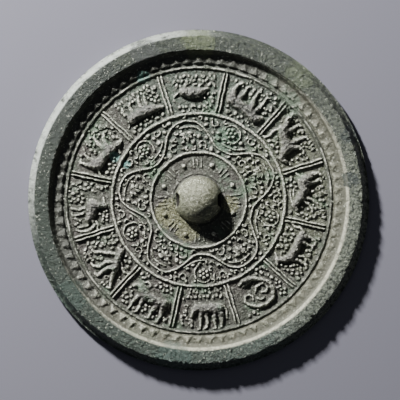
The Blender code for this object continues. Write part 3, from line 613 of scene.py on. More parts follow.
# %% Rat, ox, tiger, hare and dragon
FIGURE_SPAN = 22.0 * MM
limbs_of = {
    "rat": [
        [(23, 1, 9), (8, 5, 12), (-8, 5, 11), (-20, 1, 8), (-32, -3, 4)],
        [(-16, 8, 3.6), (-18, 14, 2.8)],
        [(-12, -4, 4.5), (-15, -12, 3.4), (-20, -14, 2.8)],
        [(0, -4, 4.5), (-2, -12, 3.4), (-7, -14, 2.8)],
        [(19, -4, 6), (18, -12, 4), (12, -14, 3)],
        [(30, 0, 3), (38, 6, 2.4), (43, 14, 2.2), (44, 23, 1.8)],
    ],
    "ox": [
        [(36, 10, 12), (14, 13, 12), (-11, 17, 13.5), (-27, 25, 9.5), (-40, 17, 4.8)],
        [(-25, 31, 3), (-31, 40, 2.6), (-38, 42, 2)],
        [(-23, 5, 6), (-30, -14, 4.2), (-32, -28, 3.2), (-37, -30, 2.8)],
        [(-10, 4, 7), (-7, -15, 4.6), (-9, -31, 3.4), (-14, -33, 3)],
        [(23, -1, 7), (17, -17, 4.4), (18, -30, 3.4), (13, -32, 3)],
        [(38, 0, 9), (41, -14, 5.6), (35, -31, 3.6), (30, -33, 3)],
        [(46, 13, 2.4), (51, 2, 2.2), (49, -9, 2.8)],
    ],
    "tiger": [
        [(28, 2, 12), (9, 8, 10.5), (-8, 13, 12.5), (-14, 28, 8.5), (-22, 37, 7), (-33, 34, 4.4)],
        [(-18, 43, 3), (-14, 47, 2.2)],
        [(-13, 4, 7), (-23, -7, 4.6), (-34, -11, 3.4), (-39, -8, 3)],
        [(-6, 1, 7), (-8, -17, 4.6), (-12, -32, 3.4), (-18, -34, 3)],
        [(21, -4, 7), (17, -21, 4.6), (20, -34, 3.4), (14, -36, 3)],
        [(29, -3, 9.5), (41, -20, 5.4), (48, -36, 3.6), (43, -39, 3)],
        [(36, 7, 4), (39, 19, 3.6), (34, 31, 3.4), (36, 42, 3), (43, 47, 2.4)],
    ],
    "hare": [
        [(31, 9, 12.5), (10, 7, 10), (-6, 18, 9.5), (-21, 30, 7.5), (-32, 26, 4.2)],
        [(-17, 35, 3.2), (-4, 39, 3), (10, 39, 2.2)],
        [(-14, 30, 3), (0, 32, 2.8), (14, 30, 2.2)],
        [(-9, 12, 5.6), (-21, -1, 3.8), (-33, -8, 3), (-39, -7, 2.6)],
        [(-3, 8, 5.6), (-12, -9, 3.8), (-21, -20, 3), (-27, -20, 2.6)],
        [(26, 1, 8), (26, -15, 4.8), (33, -28, 3.4), (27, -31, 3)],
        [(35, 4, 10), (44, -12, 5.8), (47, -27, 3.6), (41, -31, 3)],
        [(43, 17, 3.4), (48, 23, 2.6)],
    ],
    "dragon": [
        [(38, 4, 7.5), (21, 4, 9), (0, 2, 9.5), (-18, 3, 8.5), (-29, 13, 6.5), (-37, 26, 6.2),
         (-48, 22, 3.6)],
        [(-34, 31, 2.6), (-26, 38, 2)],
        [(-27, 23, 2.8), (-19, 27, 2)],
        [(-20, -5, 6.4), (-17, -22, 4.4), (-20, -37, 3.4), (-26, -38, 2.8)],
        [(-12, -5, 6), (-5, -19, 4), (-9, -30, 3.2), (-15, -31, 2.6)],
        [(24, -4, 6), (21, -17, 4), (25, -29, 3.2), (19, -31, 2.6)],
        [(35, -3, 6.8), (40, -16, 4.4), (35, -31, 3.4), (29, -32, 2.8)],
        [(44, 6, 4.2), (49, 15, 3.4), (45, 25, 2.8), (48, 33, 2)],
    ],
}

# %% Snake, horse, sheep, monkey, rooster, dog and boar
limbs_of.update({
    "snake": [
        [(-18, -9, 2), (-14, -1, 2.4), (-20, 6, 2.6), (-31, 5, 3), (-35, -5, 3.4), (-29, -18, 4),
         (-15, -28, 4.4), (3, -33, 4.8), (21, -28, 5), (32, -14, 5.2), (33, 2, 5.2),
         (25, 18, 5), (12, 29, 5), (0, 35, 6), (-14, 36, 7), (-27, 34, 3)],
        [(-8, 31, 5), (-18, 28, 4), (-26, 26, 2)],
        [(-5, 3, 2.8), (3, 11, 3.2), (14, 13, 3.6), (23, 8, 3.6), (24, -3, 3.4), (15, -9, 3),
         (7, -5, 2.6)],
        [(-8, -10, 2.4), (-3, -17, 2.4), (6, -18, 2)],
    ],
    "horse": [
        [(32, 1, 12.5), (14, 3, 11), (-3, 2, 12), (-14, 5, 8.5), (-23, -3, 6), (-29, -14, 3.4)],
        [(-17, 12, 3), (-20, 18, 2)],
        [(-7, -8, 6.4), (-9, -26, 4.2), (-10, -42, 3.2), (-16, -44, 2.8)],
        [(4, -8, 6), (7, -25, 4.2), (4, -40, 3.2), (-2, -42, 2.8)],
        [(24, -10, 7), (22, -27, 4.4), (24, -41, 3.2), (18, -43, 2.8)],
        [(36, -10, 7.4), (38, -27, 4.6), (37, -42, 3.4), (31, -44, 3)],
        [(44, 6, 3.2), (49, -6, 3.2), (48, -21, 2.6)],
    ],
    "sheep": [
        [(35, 2, 11.5), (12, 2, 11), (-13, 3, 12), (-24, 14, 8.5), (-31, 15, 6.5), (-40, 9, 4)],
        [(-24, 20, 3), (-17, 29, 3), (-8, 27, 2.8), (-9, 19, 2.4), (-15, 18, 2)],
        [(-22, -8, 6), (-27, -25, 4), (-28, -42, 3.2), (-34, -44, 2.8)],
        [(-10, -8, 6), (-8, -25, 4), (-11, -43, 3.2), (-17, -44, 2.8)],
        [(22, -8, 6.6), (20, -25, 4.2), (19, -40, 3.2), (13, -42, 2.8)],
        [(38, -8, 7), (42, -24, 4.4), (41, -40, 3.2), (35, -42, 2.8)],
        [(46, 8, 3.6), (49, -1, 2.8)],
    ],
    "monkey": [
        [(26, 6, 8), (17, 17, 8.5), (8, 27, 8), (2, 37, 7), (-5, 35, 4.6)],
        [(4, 25, 5), (-8, 14, 4.6), (-18, 1, 4.2), (-28, -13, 3.4), (-35, -15, 2.8)],
        [(17, 24, 4.8), (32, 19, 4.2), (46, 17, 3.4), (52, 23, 2.8)],
        [(13, 9, 5), (3, -5, 4.8), (5, -20, 4.2), (-3, -31, 3.4), (-10, -32, 2.8)],
        [(24, 3, 7.6), (18, -8, 5.8), (17, -22, 4.6), (19, -35, 3.6), (12, -38, 3)],
        [(29, 3, 7), (38, -9, 5.2), (48, -20, 4.2), (57, -27, 3.4), (52, -33, 2.8)],
    ],
    "rooster": [
        [(31, -2, 8), (15, 4, 12), (-1, 7, 13), (0, 22, 8.6), (1, 34, 6.4), (-16, 32, 2)],
        [(-2, 41, 2.8), (4, 44, 2.4), (8, 40, 2)],
        [(33, 5, 4.6), (46, 8, 4.4), (55, -3, 4), (57, -19, 3.2), (54, -32, 2.2)],
        [(33, -3, 4), (43, -5, 3.6), (48, -15, 3.2), (47, -28, 2.4)],
        [(34, 9, 3.8), (45, 18, 3.4), (55, 15, 2.6)],
        [(5, -10, 5.2), (9, -25, 3.2), (6, -40, 2.8), (-2, -43, 2.4)],
        [(15, -10, 4.8), (20, -23, 3), (22, -37, 2.6), (14, -39, 2.2)],
    ],
    "dog": [
        [(34, 9, 10.5), (12, 12, 9.6), (-9, 15, 11.8), (-18, 23, 8.2), (-27, 27, 6.6),
         (-41, 29, 3.6)],
        [(-22, 32, 3.4), (-13, 40, 2.6)],
        [(-14, 5, 6.6), (-24, -7, 4.4), (-36, -12, 3.2), (-42, -10, 2.8)],
        [(-6, 4, 6.6), (-9, -12, 4.4), (-16, -26, 3.2), (-22, -27, 2.8)],
        [(29, 1, 7.6), (30, -14, 4.6), (26, -28, 3.2), (20, -30, 2.8)],
        [(38, 2, 8.6), (44, -13, 5), (46, -28, 3.4), (40, -31, 3)],
        [(44, 16, 3.4), (51, 24, 3), (49, 33, 2.4)],
    ],
    "boar": [
        [(28, 12, 10.5), (7, 11, 11.5), (-15, 14, 12), (-31, 21, 7.8), (-44, 25, 4.4)],
        [(-25, 28, 3.2), (-20, 34, 2.4)],
        [(-16, 3, 6), (-21, -12, 4.2), (-26, -20, 3.2)],
        [(-5, 1, 6), (-6, -14, 4.2), (-11, -22, 3.2)],
        [(20, 3, 6.4), (17, -12, 4.4), (13, -20, 3.2)],
        [(31, 4, 6.8), (36, -10, 4.4), (32, -20, 3.2)],
        [(37, 18, 2.6), (43, 24, 2.2)],
    ],
})
ORDER = ("rat", "ox", "tiger", "hare", "dragon", "snake", "horse", "sheep", "monkey", "rooster",
         "dog", "boar")
print("limbs:", ", ".join(f"{name} {len(limbs_of[name])}" for name in ORDER))

# %% [markdown]
# ## From a panel to the disc
# A figure is drawn upright in its own panel and then laid into the band with its feet to the
# rim. The rat stands at the top, and the others follow clockwise.

# %% Place of a point of a panel
def panel_angle(index):
    """Direction of the middle of a panel."""
    return FIRST_BAR_ANGLE + 360.0 / PANELS * (2.5 - index)


def in_panel(index, across, up):
    """Place on the plan of a point given in metres across and up its panel."""
    turn = math.radians(panel_angle(index))
    radius = middle("animal_band") - up
    return (radius * math.cos(turn) - across * math.sin(turn),
            radius * math.sin(turn) + across * math.cos(turn))


HUNDREDTH = FIGURE_SPAN / 100
LIMB_FULLNESS = 1.18
figures = []
for index, name in enumerate(ORDER):
    chains = []
    for limb in limbs_of[name]:
        chains.append(np.array([
            (*in_panel(index, across * HUNDREDTH, up * HUNDREDTH),
             half * HUNDREDTH * LIMB_FULLNESS) for across, up, half in limb]))
    figures.append(chains)

# %% [markdown]
# ## Leaves, clouds and rocks beside the animals
# Round each animal the panel is filled with leaves, clouds and rocks, denser in some places than
# in others. A table says where they grow: the kind, the middle of the patch and its half extents,
# in hundredths of the span again. Inside a patch they stand in rows, shifted a little, and each
# one shrinks to the room that the animal leaves it. They repeat, so they are stamped too.

# %% Where the filling grows
thickets = {
    "rat": [("leaf", 0, -28, 46, 11), ("tuft", 16, 39, 38, 9), ("tuft", -40, 24, 10, 20)],
    "ox": [("tuft", -2, 41, 46, 9), ("tuft", -42, -6, 10, 40), ("leaf", 4, -40, 44, 9),
           ("tuft", 44, 30, 9, 14), ("tuft", 2, -16, 36, 16)],
    "tiger": [("tuft", 4, 38, 30, 12), ("tuft", -43, 16, 9, 30), ("leaf", -4, -43, 44, 7),
              ("tuft", 14, 24, 16, 8), ("tuft", 4, -20, 40, 18)],
    "hare": [("leaf", -42, 0, 10, 40), ("leaf", 2, -40, 46, 9), ("tuft", 33, 34, 15, 12),
             ("tuft", 4, -14, 36, 18)],
    "dragon": [("tuft", 12, 31, 38, 15), ("leaf", 4, -42, 44, 7), ("tuft", -44, -10, 7, 28),
               ("tuft", 4, -20, 36, 14)],
    "snake": [("tuft", 26, 38, 24, 9), ("tuft", 46, 0, 6, 38), ("tuft", -32, -39, 14, 8)],
    "horse": [("leaf", 0, 33, 44, 13), ("tuft", -44, 4, 8, 22), ("leaf", -40, -28, 10, 18)],
    "sheep": [("tuft", -44, -4, 7, 42), ("tuft", 26, 36, 22, 10), ("leaf", 46, -28, 6, 18),
              ("tuft", -30, 38, 12, 9), ("tuft", 5, -26, 30, 14)],
    "monkey": [("leaf", -40, 10, 11, 34), ("tuft", 30, 38, 18, 10), ("leaf", -26, -40, 20, 8),
               ("tuft", 44, 0, 9, 12), ("tuft", 4, -22, 42, 18), ("tuft", -8, 32, 16, 12)],
    "rooster": [("leaf", -40, 0, 9, 44), ("tuft", 32, 36, 20, 12), ("leaf", 36, -41, 18, 8),
                ("tuft", -20, -30, 10, 16), ("tuft", 32, -20, 22, 14),
                ("tuft", 14, 26, 12, 10)],
    "dog": [("leaf", -43, -6, 9, 38), ("leaf", 2, -41, 46, 8), ("tuft", 26, 39, 24, 9),
            ("tuft", 4, -16, 36, 16)],
    "boar": [("tuft", 4, 38, 44, 11), ("leaf", 0, -36, 46, 13), ("tuft", -44, -2, 7, 22),
             ("tuft", 2, -12, 34, 10)],
}
small_rings = {"hare": (12, -22), "horse": (-39, 8), "monkey": (33, -22), "snake": (4, 46),
               "ox": (-39, -28)}
print(f"{sum(map(len, thickets.values()))} thickets")

# %% Fill the thickets
TUFT_SPACING = 9.2
TUFT_MOST = 1.0 * MM
TUFT_LEAST = 0.4 * MM
LEAF_LENGTH = 2.6 * MM
LEAF_HALF_WIDTH = 0.72 * MM
LEAF_ROOM = 0.65 * MM
LEAF_SWAY = 55
FILLING_HEIGHT = 0.85 * MM
SMALL_RING_RADIUS = 0.85 * MM
SMALL_RING_HALF_WIDTH = 0.34 * MM
SMALL_RING_STOPS = 14
FILLING_GAP = 0.15 * MM
BAR_CLEARANCE = 2.3 * MM


def panel_room(index, across, up):
    """How far a place lies from its panel's animal, bars and ring lines."""
    place = in_panel(index, across, up)
    radius = math.hypot(*place)
    turn = (math.degrees(math.atan2(place[1], place[0])) - panel_angle(index) + 180) % 360 - 180
    beside = math.radians(180.0 / PANELS - abs(turn)) * radius - BAR_CLEARANCE
    from_lines = min(radius - starts["animal_band"], ends["animal_band"] - radius)
    from_animal = outline_distance(np.array([place]), figures[index])[0]
    return min(beside, from_lines, from_animal) - FILLING_GAP


ring_paths = []
for index, name in enumerate(ORDER):
    if name in small_rings:
        across, up = small_rings[name]
        small_ring = curl(in_panel(index, across * HUNDREDTH, up * HUNDREDTH),
                          SMALL_RING_RADIUS, SMALL_RING_RADIUS, 0, 360, SMALL_RING_HALF_WIDTH,
                          steps=SMALL_RING_STOPS)
        ring_paths.append(small_ring)
        figures[index].append(np.array([(x, y, 0.3 * MM) for x, y, _ in small_ring]))
    for patch, (kind, across, up, half_across, half_up) in enumerate(thickets[name]):
        for row in range(round(2 * half_up / TUFT_SPACING + 0.5)):
            for k in range(round(2 * half_across / TUFT_SPACING + 0.5)):
                seed = index * 197 + patch * 31 + row * 7.3 + k * 1.7
                u = across - half_across + TUFT_SPACING * (k + 0.5 * (row % 2) + 0.35
                                                            * jitter(seed))
                v = up - half_up + TUFT_SPACING * (row + 0.5 + 0.3 * jitter(seed + 0.4))
                room = panel_room(index, u * HUNDREDTH, v * HUNDREDTH)
                if room < TUFT_LEAST:
                    continue
                x, y = in_panel(index, u * HUNDREDTH, v * HUNDREDTH)
                inwards = panel_angle(index) + 180 + LEAF_SWAY * jitter(seed + 0.8)
                if kind == "leaf" and room > LEAF_ROOM:
                    leaf_rows.append((x, y, inwards, LEAF_LENGTH, LEAF_HALF_WIDTH,
                                      FILLING_HEIGHT))
                else:
                    size = min(room, TUFT_MOST * (0.85 + 0.25 * jitter(seed + 0.2)))
                    berry_rows.append((x, y, inwards, size * BERRY_STRETCH, size,
                                       FILLING_HEIGHT))
ring_lines = rod_object("ring_paths", ring_paths)
rings = run_tree(sweeping, ring_lines, "small_rings", {
    "Section": section, "Steepness": ROD_STEEPNESS})
print(f"{len(berry_rows)} berries and tufts, {len(leaf_rows)} leaves")

stamps = [stamp_all("bars", "bar", bar_rows), stamp_all("dots", "dome", dot_rows),
          stamp_all("berries", "dome", berry_rows), stamp_all("leaves", "leaf", leaf_rows),
          stamp_all("hooks", "hook", hook_rows), vine, rings]

# %% [markdown]
# ## A plan of corners
# The skin of the back is one sheet of triangles. Its corners are set out from above: rings on
# every bend of the turned blank, all corners of the stamps, the lines of the saw teeth, and an
# even honeycomb in between. Honeycomb corners that lie beside an animal's outline are moved
# onto it, so that its flanks come out clean.

# %% Corners on the rings and teeth
FIELD_GAP = 0.49 * MM
RIM_GAP = 0.85 * MM
TEETH = 76
TOOTH_HEIGHT = 0.9 * MM
TOOTH_ROWS = 6
LINE_SHARES = (0.0, 0.12, 0.3, 0.5, 0.7, 0.88, 1.0)
KNOB_SHARES = (0.84, 0.9, 0.95, 0.985, 1.0, 1.06)
BEND_SHIFT = 0.25 * MM


def ring_corners(radius, gap, offset=0.0):
    """Even corners on a circle."""
    count = max(12, round(math.tau * radius / gap))
    turns = (np.arange(count) + offset) * math.tau / count
    return np.stack([radius * np.cos(turns), radius * np.sin(turns)], axis=1)


features = [ring_corners(MIRROR_RADIUS, RIM_GAP)]
for ring in ("inner_line", "middle_line", "outer_line", "knob_ridge"):
    for share in LINE_SHARES:
        radius = starts[ring] + (ends[ring] - starts[ring]) * share
        features.append(ring_corners(radius, FIELD_GAP * 1.2, share))
for share in KNOB_SHARES:
    features.append(ring_corners(ends["knob"] * share, FIELD_GAP, share))
for ring in ("step", "tooth_band", "inner_wall", "rim_top"):
    for shift in (-BEND_SHIFT, 0.0, BEND_SHIFT):
        features.append(ring_corners(ends[ring] + shift, RIM_GAP, shift / MM))
for k in range(TEETH):
    turn = 360.0 * k / TEETH
    half = 180.0 / TEETH
    for along in np.linspace(0.0, 1.0, TOOTH_ROWS):
        radius = starts["tooth_band"] + (ends["tooth_band"] - starts["tooth_band"]) * along
        for side in (-1, 0, 1):
            features.append(np.array([polar(radius, turn + side * half * (1.0 - along))]))
features += [corners_of(stamp)[:, :2] for stamp in stamps]
features = np.vstack(features)
print(f"{len(features)} corners on features")

# %% Honeycomb between them
SQUARES_IN_A_ROW = 100003
FEATURE_GAP = 0.26 * MM
CLEAR_GAP = 0.22 * MM
BORDER_GAP = 0.3 * MM
SLOPE_STEP = 0.01 * MM


def honeycomb(inner, outer, gap):
    """Corners of an even honeycomb between two radii."""
    count = int(outer / gap) + 2
    columns, rows = np.meshgrid(np.arange(-count, count + 1), np.arange(-2 * count, 2 * count))
    x = (columns + 0.5 * (rows % 2)) * gap
    y = rows * gap * math.sqrt(3) / 2
    radius = np.hypot(x, y)
    keep = (radius > inner) & (radius < outer)
    return np.stack([x[keep], y[keep]], axis=1)


def thin(places, gap):
    """Keep the first corner of each small square."""
    cells = np.floor(places / gap).astype(int)
    _, first = np.unique(cells[:, 0] * SQUARES_IN_A_ROW + cells[:, 1], return_index=True)
    return places[np.sort(first)]


def clear_of(places, others, gap):
    """Keep the places that have no other corner close by."""
    size = int(2 * MIRROR_RADIUS / gap) + 8
    taken = np.zeros((size, size), dtype=bool)
    cells = np.floor((others + MIRROR_RADIUS) / gap).astype(int) + 3
    for shift_x in (-1, 0, 1):
        for shift_y in (-1, 0, 1):
            taken[cells[:, 0] + shift_x, cells[:, 1] + shift_y] = True
    cells = np.floor((places + MIRROR_RADIUS) / gap).astype(int) + 3
    return places[~taken[cells[:, 0], cells[:, 1]]]


def snap_to_outlines(places, chains, reach):
    """Move the places that lie beside an outline onto it."""
    near = outline_distance(places, chains)
    beside = np.abs(near) < reach
    slope = []
    for shift in ((SLOPE_STEP, 0.0), (0.0, SLOPE_STEP)):
        slope.append((outline_distance(places + shift, chains) - near) / SLOPE_STEP)
    slope = np.stack(slope, axis=1)
    moved = places - slope * near[:, None]
    return np.where(beside[:, None], moved, places)


field = honeycomb(BORDER_GAP, starts["step"], FIELD_GAP)
turns = np.degrees(np.arctan2(field[:, 1], field[:, 0]))
in_band = np.hypot(field[:, 0], field[:, 1]) > starts["animal_band"]
for index, chains in enumerate(figures):
    away = (turns - panel_angle(index) + 180.0) % 360.0 - 180.0
    mine = in_band & (np.abs(away) < 180.0 / PANELS)
    field[mine] = snap_to_outlines(field[mine], chains, FIELD_GAP * 0.5)
rim = honeycomb(starts["step"], MIRROR_RADIUS - BORDER_GAP, RIM_GAP)
features = thin(features, FEATURE_GAP)
filling = clear_of(np.vstack([field, rim]), features, CLEAR_GAP)
plan_corners = np.vstack([features, filling])
print(f"{len(plan_corners)} corners in the plan")

# %% [markdown]
# ## Heights of the animals
# Each limb is arched, a little steeper at its crest than half an ellipse. Where two limbs meet,
# their heights are mixed by a high power, which runs them together as a carver's thumb would.

# %% Rise of the figures at every corner
FIGURE_HEIGHT = 2.4 * MM
STEEPEST = 1.05
LIMB_ROUNDNESS = 0.75
BLEND_POWER = 5.0


def limb_rise(places, chain):
    """Height of one limb above the ground."""
    best = np.zeros(len(places))
    for start, end in zip(chain[:-1], chain[1:]):
        away, half = link_distance(places, start, end)
        crest = np.minimum(FIGURE_HEIGHT, STEEPEST * half)
        arch = np.clip(1.0 - (away / half) ** 2, 0.0, 1.0) ** LIMB_ROUNDNESS
        best = np.maximum(best, crest * arch)
    return best


def figure_rise(places, chains):
    """Height of a whole animal, its limbs run together."""
    total = np.zeros(len(places))
    for chain in chains:
        total += limb_rise(places, chain) ** BLEND_POWER
    return total ** (1.0 / BLEND_POWER)


rise = np.zeros(len(plan_corners))
turns = np.degrees(np.arctan2(plan_corners[:, 1], plan_corners[:, 0]))
radii = np.hypot(plan_corners[:, 0], plan_corners[:, 1])
in_band = (radii > starts["animal_band"]) & (radii < starts["outer_line"])
for index, chains in enumerate(figures):
    away = (turns - panel_angle(index) + 180.0) % 360.0 - 180.0
    mine = in_band & (np.abs(away) < 180.0 / PANELS)
    rise[mine] = figure_rise(plan_corners[mine], chains)
print(f"highest figure {rise.max() / MM:.2f} mm above the ground")

# %% Triangles of the plan
JOIN_GAP = 1e-6
found = delaunay_2d_cdt([Vector(corner) for corner in plan_corners.tolist()], [], [], 0, JOIN_GAP)
print(f"{len(found[0])} corners, {len(found[2])} triangles")
sources = np.array([group[0] for group in found[3]])
flat = mesh_object("plan", [(x, y, 0.0) for x, y in found[0]], (), found[2],
                   {"figure": rise[sources]})

# %% [markdown]
# ## Press the skin
# The main tree now lifts every corner of the flat plan. It looks down on the turned blank and
# on the stamps, adds the saw teeth and the animals, and keeps the highest. Then the surface
# suffers as old bronze does: the cast skin is uneven, most of all on the rim and the animals,
# the rim's arris has lost crumbs, a crust has grown over one place, the teeth are worn lower on
# one side, and all lines wander a little, because they were drawn by hand. It is geometry and
# not only bump, since light that comes from so low shows every one of these.

# %% Tree that lifts the plan
LOOK_FROM = 30.0 * MM
pressing, given = new_tree("press the skin", {
    "Blank": "Object", "Stamps": "Object", "Crust Place": "Vector", **dict.fromkeys((
        "Ground", "Teeth", "Tooth Height", "Tooth Wear", "Band Start", "Band Width", "Roughness",
        "Grains Per Metre", "Figure Wear", "Rim Start", "Rim Wear", "Arris Radius",
        "Arris Loss", "Drift", "Drifts Per Metre", "Knob Radius", "Crust Reach",
        "Crust Height"), "Float")})
plus, minus, times, over, least, most = arithmetic(pressing)
spot = put(pressing, "GeometryNodeInputPosition")[0]
parts = put(pressing, "ShaderNodeSeparateXYZ", {0: spot})
above = put(pressing, "ShaderNodeCombineXYZ", {0: parts[0], 1: parts[1], 2: LOOK_FROM})[0]


def look_down(target):
    """Whether something lies below a corner, and how high it stands."""
    thing = put(pressing, "GeometryNodeObjectInfo", {"Object": given[target]})["Geometry"]
    ray = put(pressing, "GeometryNodeRaycast", {
        "Target Geometry": thing, "Source Position": above, "Ray Direction": (0.0, 0.0, -1.0),
        "Ray Length": 2 * LOOK_FROM})
    height = put(pressing, "ShaderNodeSeparateXYZ", {0: ray["Hit Position"]})[2]
    return times(ray["Is Hit"], height)


# %% Saw teeth in the tree: wedges cut flat at the top, lower on the side that is worn
BAND_LEAD = -0.02
TOOTH_CUT = 0.5
TOOTH_WEAR_FROM = -0.5 * MIRROR_RADIUS
TOOTH_WEAR_TO = 0.7 * MIRROR_RADIUS
radius = put(pressing, "ShaderNodeVectorMath", {0: spot}, operation="LENGTH")["Value"]
angle = calc(pressing, "ARCTAN2", parts[1], parts[0])
laps = times(over(angle, math.tau), given["Teeth"])
from_crest = calc(pressing, "ABSOLUTE", minus(laps, calc(pressing, "ROUND", laps)))
along = over(minus(radius, given["Band Start"]), given["Band Width"])
wedge = minus(1.0, along, times(from_crest, 2.0))
is_band = times(calc(pressing, "GREATER_THAN", along, BAND_LEAD),
                calc(pressing, "LESS_THAN", along, 1.0))
worn_away = times(fade(pressing, parts[0], TOOTH_WEAR_FROM, TOOTH_WEAR_TO), given["Tooth Wear"])
tooth = times(over(least(most(wedge, 0.0), TOOTH_CUT), TOOTH_CUT), minus(1.0, worn_away),
              is_band, given["Tooth Height"])
turned = look_down("Blank")
figure = column(pressing, "figure")
carved = most(look_down("Stamps"), plus(figure, given["Ground"]), plus(turned, tooth))

# %% Cast skin: fine on the ground, rougher on the rim and the animals, and only sunk on the knob
MIDDLE_OF_NOISE = 0.5
RIM_FADE = 3.0 * MM
FIGURE_FOOT = 0.2 * MM
FIGURE_FLANK = 1.2 * MM
CRUMBS_PER_METRE = 260.0
is_rim = fade(pressing, radius, given["Rim Start"], plus(given["Rim Start"], RIM_FADE))
on_figure = fade(pressing, figure, FIGURE_FOOT, FIGURE_FLANK)
figure_wear = times(on_figure, given["Figure Wear"])
depth = plus(put(pressing, "ShaderNodeMix", {
    0: is_rim, 2: given["Roughness"], 3: given["Rim Wear"]})[0], figure_wear)
grains = noise_of(pressing, spot, given["Grains Per Metre"], 3.0, 0.6)[0]
rough = times(depth, minus(grains, MIDDLE_OF_NOISE))
is_knob = calc(pressing, "LESS_THAN", radius, given["Knob Radius"])
rough = put(pressing, "ShaderNodeMix", {0: is_knob, 2: rough, 3: least(rough, 0.0)})[0]
crumbs = noise_of(pressing, spot, CRUMBS_PER_METRE, 5.0, 0.7)[0]
rough = plus(rough, times(minus(crumbs, MIDDLE_OF_NOISE), figure_wear))

# %% Crumbs lost along the rim's arris, and a crust that never stands above the rim
ARRIS_BITE_LEVEL = 0.46
ARRIS_REACH = 2.6 * MM
ARRIS_CORE = 0.2 * MM
WORST_SIDE = (0.85, -0.53, 0.0)
WORST_FROM = -0.6 * MIRROR_RADIUS
WORST_TO = 0.8 * MIRROR_RADIUS
BEST_SIDE_LOSS = 0.25
towards_worst = put(pressing, "ShaderNodeVectorMath", {0: spot, 1: WORST_SIDE},
                    operation="DOT_PRODUCT")["Value"]
worst_side = fade(pressing, towards_worst, WORST_FROM, WORST_TO, BEST_SIDE_LOSS)
off_arris = calc(pressing, "ABSOLUTE", minus(radius, given["Arris Radius"]))
from_arris = fade(pressing, off_arris, ARRIS_REACH, ARRIS_CORE)
bite = most(minus(crumbs, ARRIS_BITE_LEVEL), 0.0)
lost = times(bite, given["Arris Loss"], times(from_arris, worst_side))
to_crust = put(pressing, "ShaderNodeVectorMath", {0: spot, 1: given["Crust Place"]},
               operation="DISTANCE")["Value"]
lumps = times(most(minus(crumbs, MIDDLE_OF_NOISE), 0.0),
              fade(pressing, to_crust, given["Crust Reach"], 0.0), given["Crust Height"])
lumps = least(lumps, most(minus(plus(given["Ground"], RIM_HEIGHT), carved), 0.0))
settled = plus(carved, lumps, minus(rough, lost))
lifted = put(pressing, "ShaderNodeCombineXYZ", {0: parts[0], 1: parts[1], 2: settled})[0]

# %% Lines that wander a little, as if drawn by hand, but not the knob's or the rim's
LEVEL = (1.0, 1.0, 0.0)
drift = noise_of(pressing, spot, given["Drifts Per Metre"], 2.0, 0.5)["Color"]
drift = put(pressing, "ShaderNodeVectorMath", {0: drift, 1: (MIDDLE_OF_NOISE,) * 3},
            operation="SUBTRACT")["Vector"]
free = times(fade(pressing, radius, starts["tooth_band"], starts["outer_line"]),
             fade(pressing, radius, given["Knob Radius"], starts["inner_line"]))
drift = put(pressing, "ShaderNodeVectorMath", {0: drift, "Scale": times(free, given["Drift"])},
            operation="SCALE")["Vector"]
drift = put(pressing, "ShaderNodeVectorMath", {0: drift, 1: LEVEL},
            operation="MULTIPLY")["Vector"]
raised = put(pressing, "GeometryNodeSetPosition", {
    "Geometry": given["Geometry"], "Position": lifted, "Offset": drift})["Geometry"]
marked = put(pressing, "GeometryNodeStoreNamedAttribute", {
    "Geometry": raised, "Name": "relief", "Value": minus(carved, turned)})
close_tree(pressing, marked["Geometry"], patina)
print(f"{len(pressing.nodes)} nodes press the skin")

# %% Join the stamps and press
joined = bmesh.new()
for stamp in stamps:
    joined.from_mesh(stamp.data)
stamp_mesh = bpy.data.meshes.new("all_stamps")
joined.to_mesh(stamp_mesh)
joined.free()
all_stamps = bpy.data.objects.new("all_stamps", stamp_mesh)
bpy.context.scene.collection.objects.link(all_stamps)
casting = run_tree(pressing, flat, "mirror_casting", {
    "Blank": blank, "Stamps": all_stamps, "Ground": PLATE_THICKNESS, "Teeth": float(TEETH),
    "Tooth Height": TOOTH_HEIGHT, "Band Start": starts["tooth_band"],
    "Band Width": ends["tooth_band"] - starts["tooth_band"], "Roughness": 0.9 * MM,
    "Grains Per Metre": 700.0, "Figure Wear": 1.3 * MM, "Rim Start": starts["inner_wall"],
    "Rim Wear": 2.2 * MM, "Arris Radius": ends["rim_top"], "Arris Loss": 4.0 * MM,
    "Drift": 1.3 * MM, "Drifts Per Metre": 190.0, "Knob Radius": ends["knob"],
    "Crust Place": (*polar(62.0 * MM, 47.0), 0.0), "Crust Reach": 13.0 * MM,
    "Crust Height": 9.0 * MM, "Tooth Wear": 0.4})
for thing in [*stamps, *blanks.values(), section, vine_paths, ring_lines, all_stamps, blank,
              profile_line, flat]:
    bpy.data.objects.remove(thing)

# %% [markdown]
# ## Edge and polished face
# Below the bevel the disc ends in a thin edge. The polished face has a flat middle and swells
# up gently to the edge, so that the mirror lies steady. It is drawn from the sheet's border.

# %% Close the casting below
FACE_SWELL = 0.8 * MM
FLAT_RADIUS = 40.0 * MM
FACE_TIERS = 5
body = bmesh.new()
body.from_mesh(casting.data)
border = [edge for edge in body.edges if edge.is_boundary]
for edge in border:
    edge.smooth = False
print(f"{len(border)} edges round the border")
tiers = [(MIRROR_RADIUS, FACE_SWELL)]
for tier in range(FACE_TIERS - 1, -1, -1):
    share = tier / FACE_TIERS
    tiers.append((FLAT_RADIUS + (MIRROR_RADIUS - FLAT_RADIUS) * share, FACE_SWELL * share ** 2))
for tier_radius, height in tiers:
    drawn = bmesh.ops.extrude_edge_only(body, edges=border)["geom"]
    for corner in (item for item in drawn if isinstance(item, bmesh.types.BMVert)):
        flat_place = Vector((corner.co.x, corner.co.y)).normalized() * tier_radius
        corner.co = (flat_place.x, flat_place.y, height)
    border = [item for item in drawn if isinstance(item, bmesh.types.BMEdge)]
bmesh.ops.contextual_create(body, geom=border)
bmesh.ops.recalc_face_normals(body, faces=body.faces)
bmesh.ops.triangulate(body, faces=body.faces)
body.to_mesh(casting.data)
body.free()

